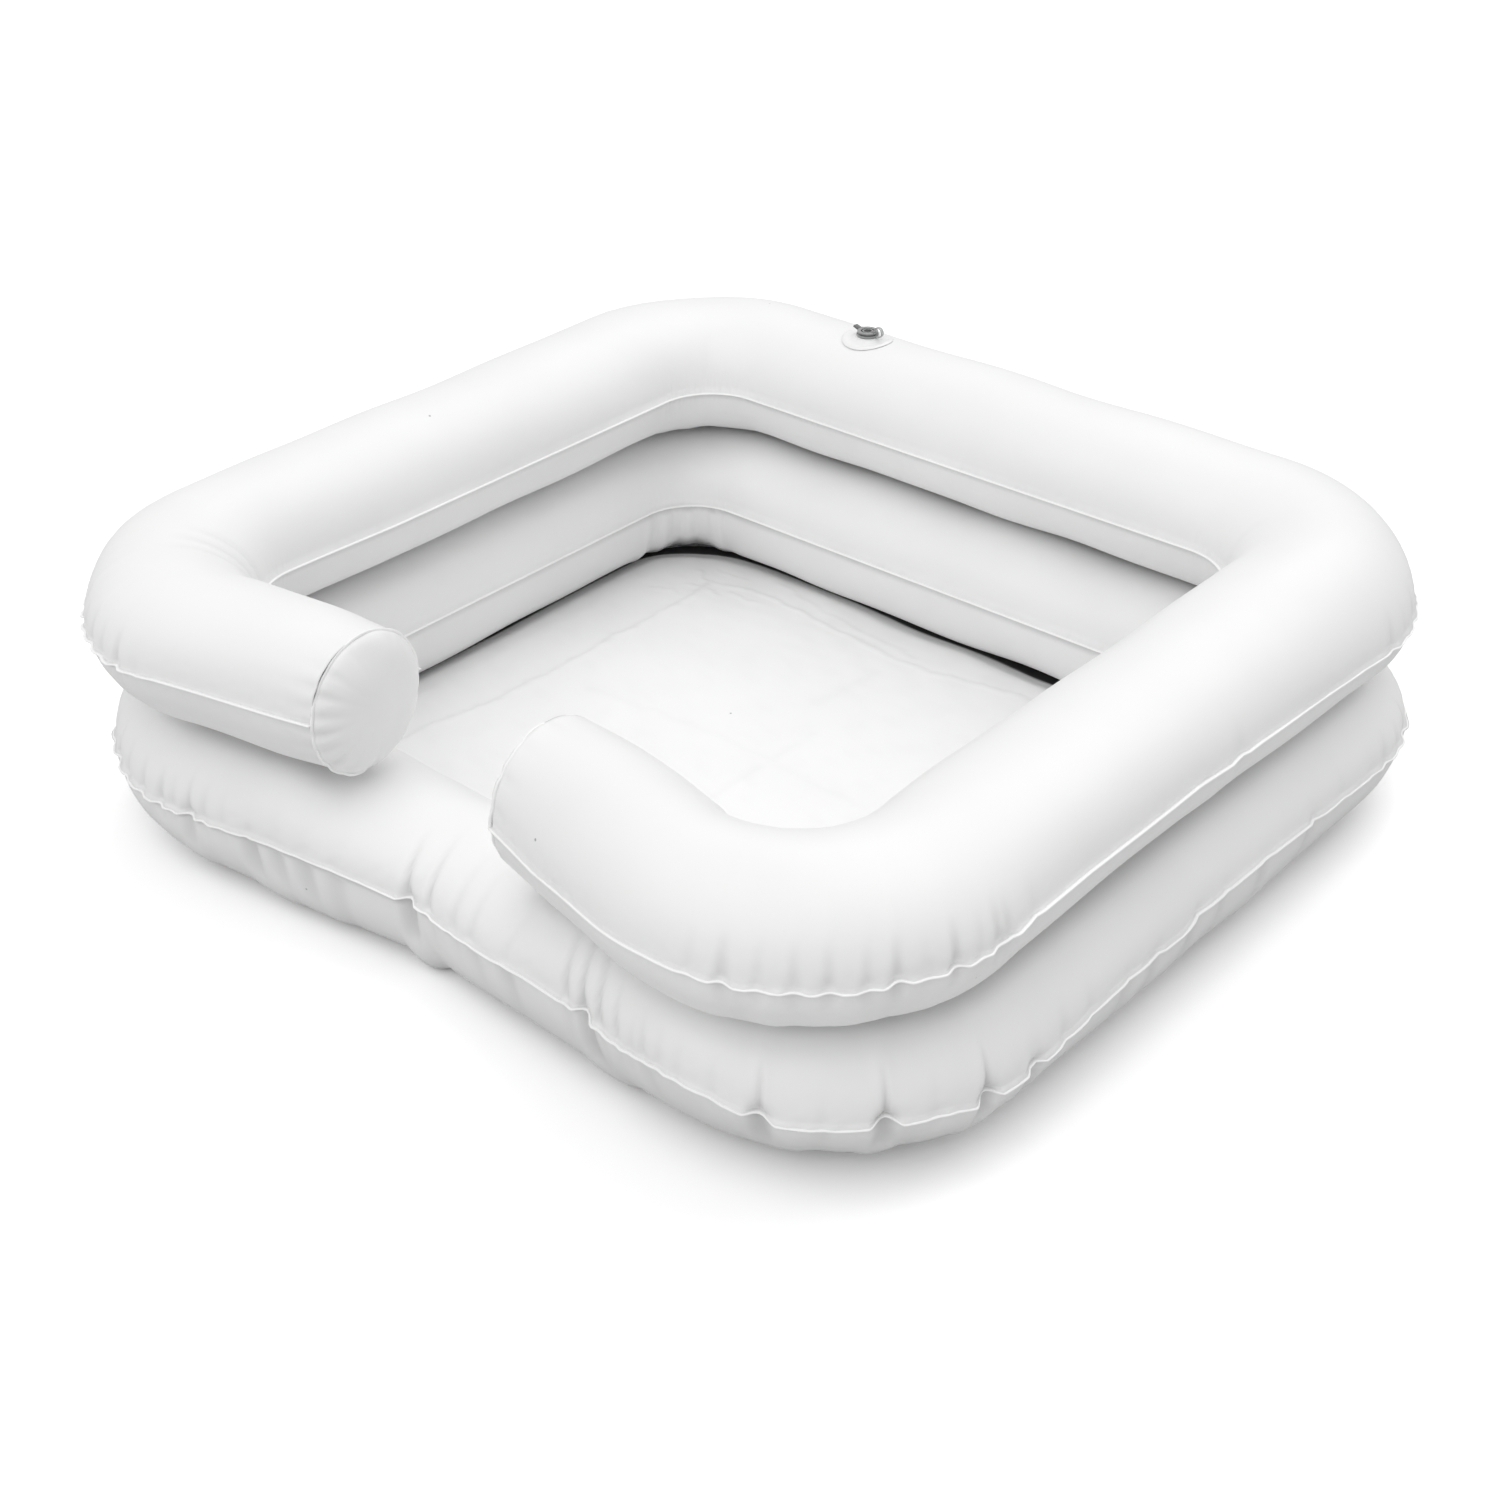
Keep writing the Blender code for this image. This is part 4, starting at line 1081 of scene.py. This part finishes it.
def valve_barrel(seat):
    """Stem that is pulled out to inflate, with its rim and the stop that ends its travel."""
    rest = GAP + VALVE_PATCH + VALVE_COLLAR_RISE + GAP
    stop = -VALVE_COLLAR_DEPTH - GAP - STEM_TRAVEL
    profile = [
        (STEM_BORE_RADIUS, rest + STEM_RIM), (STEM_RIM_RADIUS, rest + STEM_RIM),
        (STEM_RIM_RADIUS, rest), (STEM_RADIUS, rest), (STEM_RADIUS, stop), (STEM_STOP_RADIUS, stop),
        (STEM_STOP_RADIUS, stop - STEM_STOP), (STEM_BORE_RADIUS, stop - STEM_STOP)]
    return turned(profile, seat, EDGE_SOFT)


def valve_top():
    return GAP + VALVE_PATCH + VALVE_COLLAR_RISE + GAP + STEM_RIM


def valve_plug(seat):
    """Plug with a dished head, and a tab on its side to pull it by."""
    base = valve_top() + GAP
    shank = STEM_BORE_RADIUS - GAP
    face = base + PLUG_HEAD
    profile = [
        *((PLUG_DISH_RADIUS * out, face - PLUG_DISH * deep) for out, deep in PLUG_DISH_SHARES),
        (PLUG_DISH_RADIUS + PLUG_DISH_SLOPE, face), (PLUG_HEAD_RADIUS, face), (PLUG_HEAD_RADIUS, base),
        (shank, base), (shank - PLUG_TAPER, base - PLUG_LENGTH), (0, base - PLUG_LENGTH)]
    bm = turned(profile, Matrix.Identity(4), EDGE_SOFT)
    # Painted shade: dark in the dish and low on the head, and darker on the tab
    layer = bm.verts.layers.float.new("painted_shade")
    for vert in bm.verts:
        dished = (math.hypot(vert.co.x, vert.co.y) < PLUG_DISH_RADIUS * PLUG_DARK_RADIUS_SHARE
                  and vert.co.z < face - PLUG_DARK_DISH_SHARE * PLUG_DISH)
        vert[layer] = 1.0 if dished or vert.co.z < base + PLUG_DARK_HEAD_SHARE * PLUG_HEAD else 0.0
    tab = bmesh.ops.create_cube(bm, size=1)["verts"]
    for vert in tab:
        vert[layer] = PLUG_TAB_SHADE
    reach = PLUG_TAB + 2 * PLUG_TAB_ROOT
    lean = math.atan2(PLUG_TAB_LIFT, PLUG_TAB)
    place = Matrix.Translation((PLUG_TAB_ROOT - PLUG_HEAD_RADIUS, 0, base + PLUG_HEAD / 2))
    place = place @ Matrix.Rotation(lean, 4, "Y") @ Matrix.Translation((-reach / 2, 0, 0))
    size = Matrix.Diagonal((reach, PLUG_TAB_WIDTH, PLUG_TAB_THICKNESS, 1))
    bmesh.ops.transform(bm, matrix=place @ size, verts=tab)
    rounded(bm, list({edge for vert in tab for edge in vert.link_edges}), PLUG_TAB_SOFT)
    bmesh.ops.transform(bm, matrix=seat, verts=bm.verts[:])
    return bm


def valve_strap(seat):
    """Strap that loops from the side of the stem's rim over to the plug's head, as a net."""
    start = np.array((STEM_RIM_RADIUS - STRAP_SUNK, valve_top() - STEM_RIM / 2))
    land = (PLUG_DISH_RADIUS + PLUG_HEAD_RADIUS) / 2
    centre = np.array((land + STRAP_LOOP_RADIUS, start[1] + STRAP_LOOP_RADIUS))
    head = valve_top() + GAP + PLUG_HEAD + GAP / 2
    line = np.vstack((
        start[None], straight(start, centre - (0, STRAP_LOOP_RADIUS), STRAP_END_STEPS),
        arc(centre, STRAP_LOOP_RADIUS, -RIGHT_ANGLE, 2 * RIGHT_ANGLE, STRAP_LOOP_STEPS),
        straight(centre - (STRAP_LOOP_RADIUS, 0), (land, head), STRAP_END_STEPS)))
    path = np.column_stack((line[:, 0], 0 * line[:, 0], line[:, 1]))
    heading = np.gradient(path, axis=0)
    heading /= np.linalg.norm(heading, axis=1)[:, None]
    wide = np.zeros_like(path) + (0, 1, 0)
    net = swept(path, wide, np.cross(heading, wide), STRAP_WIDTH, STRAP)
    spots = np.concatenate((net, np.ones(net.shape[:2] + (1,))), axis=2)
    return (spots @ np.array(seat).T)[:, :, :3]


def drain_patch(seat):
    """Outlet moulding of the drain: a welded patch with its raised edge, and the spigot under it."""
    top = GAP + DRAIN_PATCH
    low = top - DRAIN_GROOVE
    edge = DRAIN_PATCH_RADIUS
    crest = edge - DRAIN_EDGE_SLOPE
    seat_edge = STOPPER_HEAD_RADIUS + DRAIN_EDGE_SLOPE
    profile = [
        (edge, GAP), (edge, low), (crest, top), (crest - DRAIN_EDGE_WIDTH, top),
        (crest - DRAIN_EDGE_WIDTH - DRAIN_EDGE_SLOPE, low), (seat_edge + DRAIN_EDGE_SLOPE, low),
        (seat_edge, top), (DRAIN_BORE_RADIUS, top),
        (DRAIN_BORE_RADIUS, -DRAIN_SPIGOT_DEPTH), (DRAIN_SPIGOT_RADIUS, -DRAIN_SPIGOT_DEPTH),
        (DRAIN_SPIGOT_RADIUS, GAP)]
    return turned(profile, seat, EDGE_SOFT)


def drain_stopper(seat):
    """Stopper with a flat head and a grip."""
    base = GAP + DRAIN_PATCH + GAP
    face = base + STOPPER_HEAD
    grip = face + STOPPER_NECK
    shank = DRAIN_BORE_RADIUS - GAP
    profile = [
        (0, base - STOPPER_DEPTH), (shank - STOPPER_TAPER, base - STOPPER_DEPTH), (shank, base),
        (STOPPER_HEAD_RADIUS, base), (STOPPER_HEAD_RADIUS, face),
        (STOPPER_NECK_RADIUS + STOPPER_NECK_FILLET, face),
        (STOPPER_NECK_RADIUS, face + STOPPER_NECK_FILLET), (STOPPER_NECK_RADIUS, grip),
        (STOPPER_KNOB_RADIUS, grip), (STOPPER_KNOB_RADIUS, grip + STOPPER_KNOB),
        (0, grip + STOPPER_KNOB)]
    return turned(profile, seat, EDGE_SOFT * STOPPER_SOFT)


# Film and mouldings: a colour for the plain part, and one for the painted shade
# The film's second tone is its painted shade
FILM_TONES = (0.895, 0.895, 0.895), (0.62, 0.62, 0.62)
# Floor film: its plain tone is whiter than the tubes' film, as painted light, and its second tone is the
# painted black of the crevice and the painted shade by the folds
FLOOR_TONES = (0.94, 0.94, 0.94), (0.03, 0.03, 0.03)
# The welds' plain tone is whiter than the film they are made of: a painted highlight along the seams
WELD_TONES = (0.975, 0.975, 0.975), (0.62, 0.62, 0.62)
# Clear vinyl: its plain tone, and the painted shade on the plug
CLEAR_TONES = (0.62, 0.63, 0.63), (0.07, 0.07, 0.07)
WHITE_TONE = (0.88, 0.88, 0.88)
FILM_ROUGHNESS = 0.42
WHITE_ROUGHNESS = 0.38
CLEAR_ROUGHNESS = 0.18
CLEAR_SHARE = 0.5
CLEAR_IOR = 1.45
FILM_GRAIN = 0.05
WELD_GRAIN = 0.10

# The vinyl's skin: its clouds, specks, gloss and grain. A noise has its scale and its detail
NOISE_SPAN = (0.3, 0.7)
CLOUD_NOISE = (11, 3)
CLOUD_TONES = (0.975, 1.0)
SPECK_SCALE = 24
SPECK_EDGE = (0.016, 0.024)
SPECK_CHOICE = (0.55, 0.60)
SPECK_DEPTH = 0.5
GLOSS_NOISE = (35, 2)
GLOSS_SPAN = (0.38, 0.47)
GRAIN_NOISE = (420, 4)
GRAIN_DEPTH = 0.0004

# Light, and the white floor as the camera sees it and as it throws light back
STUDIO_HALF = 15
SKY = 0.605
SOFTBOX_SPREAD = math.radians(60)
SOFTBOXES = (
    ("back_softbox", 0.78, (0.0, -0.6, -0.8)), ("front_softbox", 0.84, (0.0, 0.6, -0.8)),
    ("top_softbox", 0.24, (0.0, 0.0, -1.0)))
FLOOR_BOUNCE = (0.60, 0.60, 0.60, 1)
FLOOR_SHOWN = (1.20, 1.20, 1.20, 1)

CAMERA_LENS = 56.41
CAMERA_SENSOR = 36
CAMERA_PLACE = (0.8392, -0.9858, 0.8278)
CAMERA_WAY = (-0.5506, 0.6465, -0.5282)


def nodes_of(material):
    material.use_nodes = True
    return material.node_tree.nodes, material.node_tree.links


def mixed(nodes, links, factor, one, other, kind="RGBA"):
    """A Mix node that goes over from one value to another with a factor."""
    mix = nodes.new("ShaderNodeMix")
    mix.data_type = kind
    mix.inputs["A"].default_value = one
    mix.inputs["B"].default_value = other
    links.new(factor, mix.inputs["Factor"])
    return mix


def painted_shade_tone(nodes, links, tones):
    """The first tone, which goes over to the second as the painted shade stored on the mesh grows."""
    depth = nodes.new("ShaderNodeAttribute")
    depth.attribute_name = "painted_shade"
    one, other = ((*tone, 1) for tone in tones)
    return mixed(nodes, links, depth.outputs["Fac"], one, other).outputs["Result"]


def plain(name, colour, roughness):
    material = bpy.data.materials.new(name)
    nodes, _ = nodes_of(material)
    shader = nodes["Principled BSDF"]
    shader.inputs["Base Color"].default_value = (*colour, 1)
    shader.inputs["Roughness"].default_value = roughness
    return material


def skin_group():
    """What the vinyl's surface has everywhere: a faint grain, uneven tone, and a few specks."""
    group = bpy.data.node_groups.new("vinyl_skin", "ShaderNodeTree")
    group.interface.new_socket("Grain", in_out="INPUT", socket_type="NodeSocketFloat")
    group.interface.new_socket("Tone", in_out="OUTPUT", socket_type="NodeSocketFloat")
    group.interface.new_socket("Roughness", in_out="OUTPUT", socket_type="NodeSocketFloat")
    group.interface.new_socket("Normal", in_out="OUTPUT", socket_type="NodeSocketVector")
    nodes, links = group.nodes, group.links
    entry, leave = nodes.new("NodeGroupInput"), nodes.new("NodeGroupOutput")
    place = nodes.new("ShaderNodeTexCoord")

    def noise(scale, detail):
        texture = nodes.new("ShaderNodeTexNoise")
        texture.inputs["Scale"].default_value = scale
        texture.inputs["Detail"].default_value = detail
        links.new(place.outputs["Object"], texture.inputs["Vector"])
        return texture

    def span(value, seen, given):
        ramp = nodes.new("ShaderNodeMapRange")
        for name, number in zip(("From Min", "From Max", "To Min", "To Max"), seen + given):
            ramp.inputs[name].default_value = number
        links.new(value, ramp.inputs["Value"])
        return ramp.outputs["Result"]

    tone = span(noise(*CLOUD_NOISE).outputs["Fac"], NOISE_SPAN, CLOUD_TONES)
    cells = nodes.new("ShaderNodeTexVoronoi")
    cells.inputs["Scale"].default_value = SPECK_SCALE
    links.new(place.outputs["Object"], cells.inputs["Vector"])
    spot = span(cells.outputs["Distance"], SPECK_EDGE, (1.0, 0.0))
    chosen = nodes.new("ShaderNodeSeparateColor")
    links.new(cells.outputs["Color"], chosen.inputs["Color"])
    speck = nodes.new("ShaderNodeMath")
    speck.operation = "MULTIPLY"
    links.new(spot, speck.inputs[0])
    links.new(span(chosen.outputs["Red"], SPECK_CHOICE, (0.0, SPECK_DEPTH)), speck.inputs[1])
    marked = nodes.new("ShaderNodeMath")
    marked.operation = "SUBTRACT"
    links.new(tone, marked.inputs[0])
    links.new(speck.outputs[0], marked.inputs[1])
    links.new(marked.outputs[0], leave.inputs["Tone"])
    gloss = span(noise(*GLOSS_NOISE).outputs["Fac"], NOISE_SPAN, GLOSS_SPAN)
    links.new(gloss, leave.inputs["Roughness"])
    grain = nodes.new("ShaderNodeBump")
    grain.inputs["Distance"].default_value = GRAIN_DEPTH
    links.new(entry.outputs["Grain"], grain.inputs["Strength"])
    links.new(noise(*GRAIN_NOISE).outputs["Fac"], grain.inputs["Height"])
    links.new(grain.outputs["Normal"], leave.inputs["Normal"])
    return group


def film_material(name, skin, tones, grain):
    """White vinyl film, painted darker where the mesh carries painted shade: in folds, by seams and rims,
    and in crevices.
    """
    material = plain(name, tones[0], FILM_ROUGHNESS)
    nodes, links = nodes_of(material)
    shader = nodes["Principled BSDF"]
    surface = nodes.new("ShaderNodeGroup")
    surface.node_tree = skin
    surface.inputs["Grain"].default_value = grain
    # Painted shade, multiplied by the skin's own uneven tone and specks
    painted_shade_and_skin = nodes.new("ShaderNodeMix")
    painted_shade_and_skin.data_type = "RGBA"
    painted_shade_and_skin.blend_type = "MULTIPLY"
    painted_shade_and_skin.inputs["Factor"].default_value = 1.0
    links.new(painted_shade_tone(nodes, links, tones), painted_shade_and_skin.inputs["A"])
    links.new(surface.outputs["Tone"], painted_shade_and_skin.inputs["B"])
    links.new(painted_shade_and_skin.outputs["Result"], shader.inputs["Base Color"])
    links.new(surface.outputs["Roughness"], shader.inputs["Roughness"])
    links.new(surface.outputs["Normal"], shader.inputs["Normal"])
    return material


def white_moulding():
    return plain("moulded_white", WHITE_TONE, WHITE_ROUGHNESS)


def clear_moulding():
    """Clear soft vinyl, with painted shade in the plug's dish, low on its head and on its tab."""
    material = plain("moulded_clear", CLEAR_TONES[0], CLEAR_ROUGHNESS)
    nodes, links = nodes_of(material)
    shader = nodes["Principled BSDF"]
    links.new(painted_shade_tone(nodes, links, CLEAR_TONES), shader.inputs["Base Color"])
    shader.inputs["Transmission Weight"].default_value = CLEAR_SHARE
    shader.inputs["IOR"].default_value = CLEAR_IOR
    return material


def floor_material():
    """White floor that keeps the shadow and shows white where none falls."""
    material = bpy.data.materials.new("white_floor")
    nodes, links = nodes_of(material)
    shader = nodes["Principled BSDF"]
    shader.inputs["Roughness"].default_value = 1.0
    shader.inputs["Specular IOR Level"].default_value = 0.0
    path = nodes.new("ShaderNodeLightPath")
    tone = mixed(nodes, links, path.outputs["Is Camera Ray"], FLOOR_BOUNCE, FLOOR_SHOWN)
    links.new(tone.outputs["Result"], shader.inputs["Base Color"])
    return material


def stage_and_light():
    bm = bmesh.new()
    bmesh.ops.create_grid(bm, x_segments=1, y_segments=1, size=STUDIO_HALF)
    floor = add_piece("studio_floor", bm, floor_material())
    world = bpy.data.worlds.new("studio")
    bpy.context.scene.world = world
    world.use_nodes = True
    nodes, links = world.node_tree.nodes, world.node_tree.links
    background = nodes["Background"]
    background.inputs["Color"].default_value = (1, 1, 1, 1)
    path = nodes.new("ShaderNodeLightPath")
    level = mixed(nodes, links, path.outputs["Is Camera Ray"], SKY, 1.0, "FLOAT")
    links.new(level.outputs["Result"], background.inputs["Strength"])
    for name, strength, way in SOFTBOXES:
        softbox(name, strength, way)


def softbox(name, strength, way):
    light = bpy.data.lights.new(name, "SUN")
    light.energy = strength
    light.angle = SOFTBOX_SPREAD
    lamp = bpy.data.objects.new(name, light)
    lamp.rotation_mode = "QUATERNION"
    lamp.rotation_quaternion = Vector(way).to_track_quat("-Z", "Y")
    bpy.context.scene.collection.objects.link(lamp)


def camera():
    data = bpy.data.cameras.new("camera")
    data.lens = CAMERA_LENS
    data.sensor_width = CAMERA_SENSOR
    view = bpy.data.objects.new("camera", data)
    view.location = CAMERA_PLACE
    view.rotation_mode = "QUATERNION"
    view.rotation_quaternion = Vector(CAMERA_WAY).to_track_quat("-Z", "Y")
    bpy.context.scene.collection.objects.link(view)
    bpy.context.scene.camera = view


def joint_seat(name):
    """Frame of a valve: Z out along its joint's axis, X to the right."""
    joint = next(j for j in frame["joints"] if j["name"] == name)
    axis = Vector(joint["axis"]).normalized()
    side = axis.cross(Vector((1, 0, 0)))
    seat = Matrix((Vector((1, 0, 0)), side, axis)).transposed().to_4x4()
    seat.translation = Vector(joint["pos_m"])
    return seat


def fitting(node, word, bm, body, material):
    """A moulding in place of the model's, on its body."""
    piece = add_piece(node + "_" + word, bm, material)
    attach(piece, body)
    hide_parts(node)


def on_basin(piece, node=None):
    """A film or a weld, on the basin, in place of the model's sheet if it has one."""
    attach(piece, "basin")
    if node:
        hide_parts(node)


def add_films(upper, lower, upper_seat, lower_seat):
    """The sheets and welds of the two rings, the round ends, and the floor sheet."""
    skin = skin_group()
    film = film_material("vinyl_film", skin, FILM_TONES, FILM_GRAIN)
    # The floor's film is coloured whiter than the tubes' film: painted light
    base = film_material("floor_vinyl", skin, FLOOR_TONES, FILM_GRAIN)
    # The welds are painted whiter than the film, as a highlight
    weld = film_material("vinyl_weld", skin, WELD_TONES, WELD_GRAIN)
    # Each sheet's ring, its side, the seed of its waves, and the seat of its valve
    sheets = (
        ("upper_ring_top", upper, 1, 11, upper_seat), ("upper_ring_bottom", upper, -1, 12, None),
        ("lower_ring_top", lower, 1, 13, None), ("lower_ring_bottom", lower, -1, 14, lower_seat))
    for name, ring, side, seed, seat in sheets:
        on_basin(film_piece(name + "_film", ring, side, seed, seat, film), name + "_sheet")
    for name, ring in (("upper", upper), ("lower", lower)):
        for outer in (True, False):
            seam = "outer" if outer else "inner"
            on_basin(weld_piece(name + "_" + seam + "_weld", ring, outer, weld))
    for name, right in (("left", False), ("right", True)):
        on_basin(end_panel(name + "_end_film", upper, right, film), name + "_end_panel")
        on_basin(end_bead(name + "_end_weld", upper, right, weld))
    on_basin(floor_piece("floor_film", lower, base), "floor_sheet")


def add_valve(name, seat, angle, height, white, clear):
    """An air valve, at an angle round a tube of this height: patch, stem, plug, strap and flap."""
    bend = tube_bend(angle, TUBE_WIDTH / 2 - SEAM_LIP, (height - LIP_FACE) / CROWN_SHARE)
    fitting(name + "_flange", "patch", valve_patch(seat, bend), "basin", white)
    fitting(name + "_stem", "barrel", valve_barrel(seat), name + "_stem", clear)
    fitting(name + "_plug", "cap", valve_plug(seat), name + "_plug", clear)
    strap = bead_piece(name + "_strap_band", valve_strap(seat), False, clear)
    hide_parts(name + "_strap")
    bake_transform(strap)
    flap = frame["nodes"][name + "_flap"]
    flap.data.materials.clear()
    flap.data.materials.append(clear)


def add_drain(white, clear):
    """The drain in the floor: its outlet and its stopper."""
    seat = joint_seat("drain_unplug")
    fitting("drain_flange", "outlet", drain_patch(seat), "basin", white)
    fitting("drain_plug", "stopper", drain_stopper(seat), "drain_plug", clear)


def main():
    upper, lower = make_upper_ring(), make_lower_ring()
    upper_seat, lower_seat = joint_seat("upper_valve_pull_out"), joint_seat("lower_valve_pull_out")
    add_films(upper, lower, upper_seat, lower_seat)
    white, clear = white_moulding(), clear_moulding()
    add_valve("upper_valve", upper_seat, RIGHT_ANGLE, upper.crown.max(), white, clear)
    add_valve("lower_valve", lower_seat, LOWER_VALVE_ANGLE, lower.belly.max(), white, clear)
    add_drain(white, clear)
    stage_and_light()
    camera()
    bpy.context.scene.view_settings.view_transform = "Standard"


main()
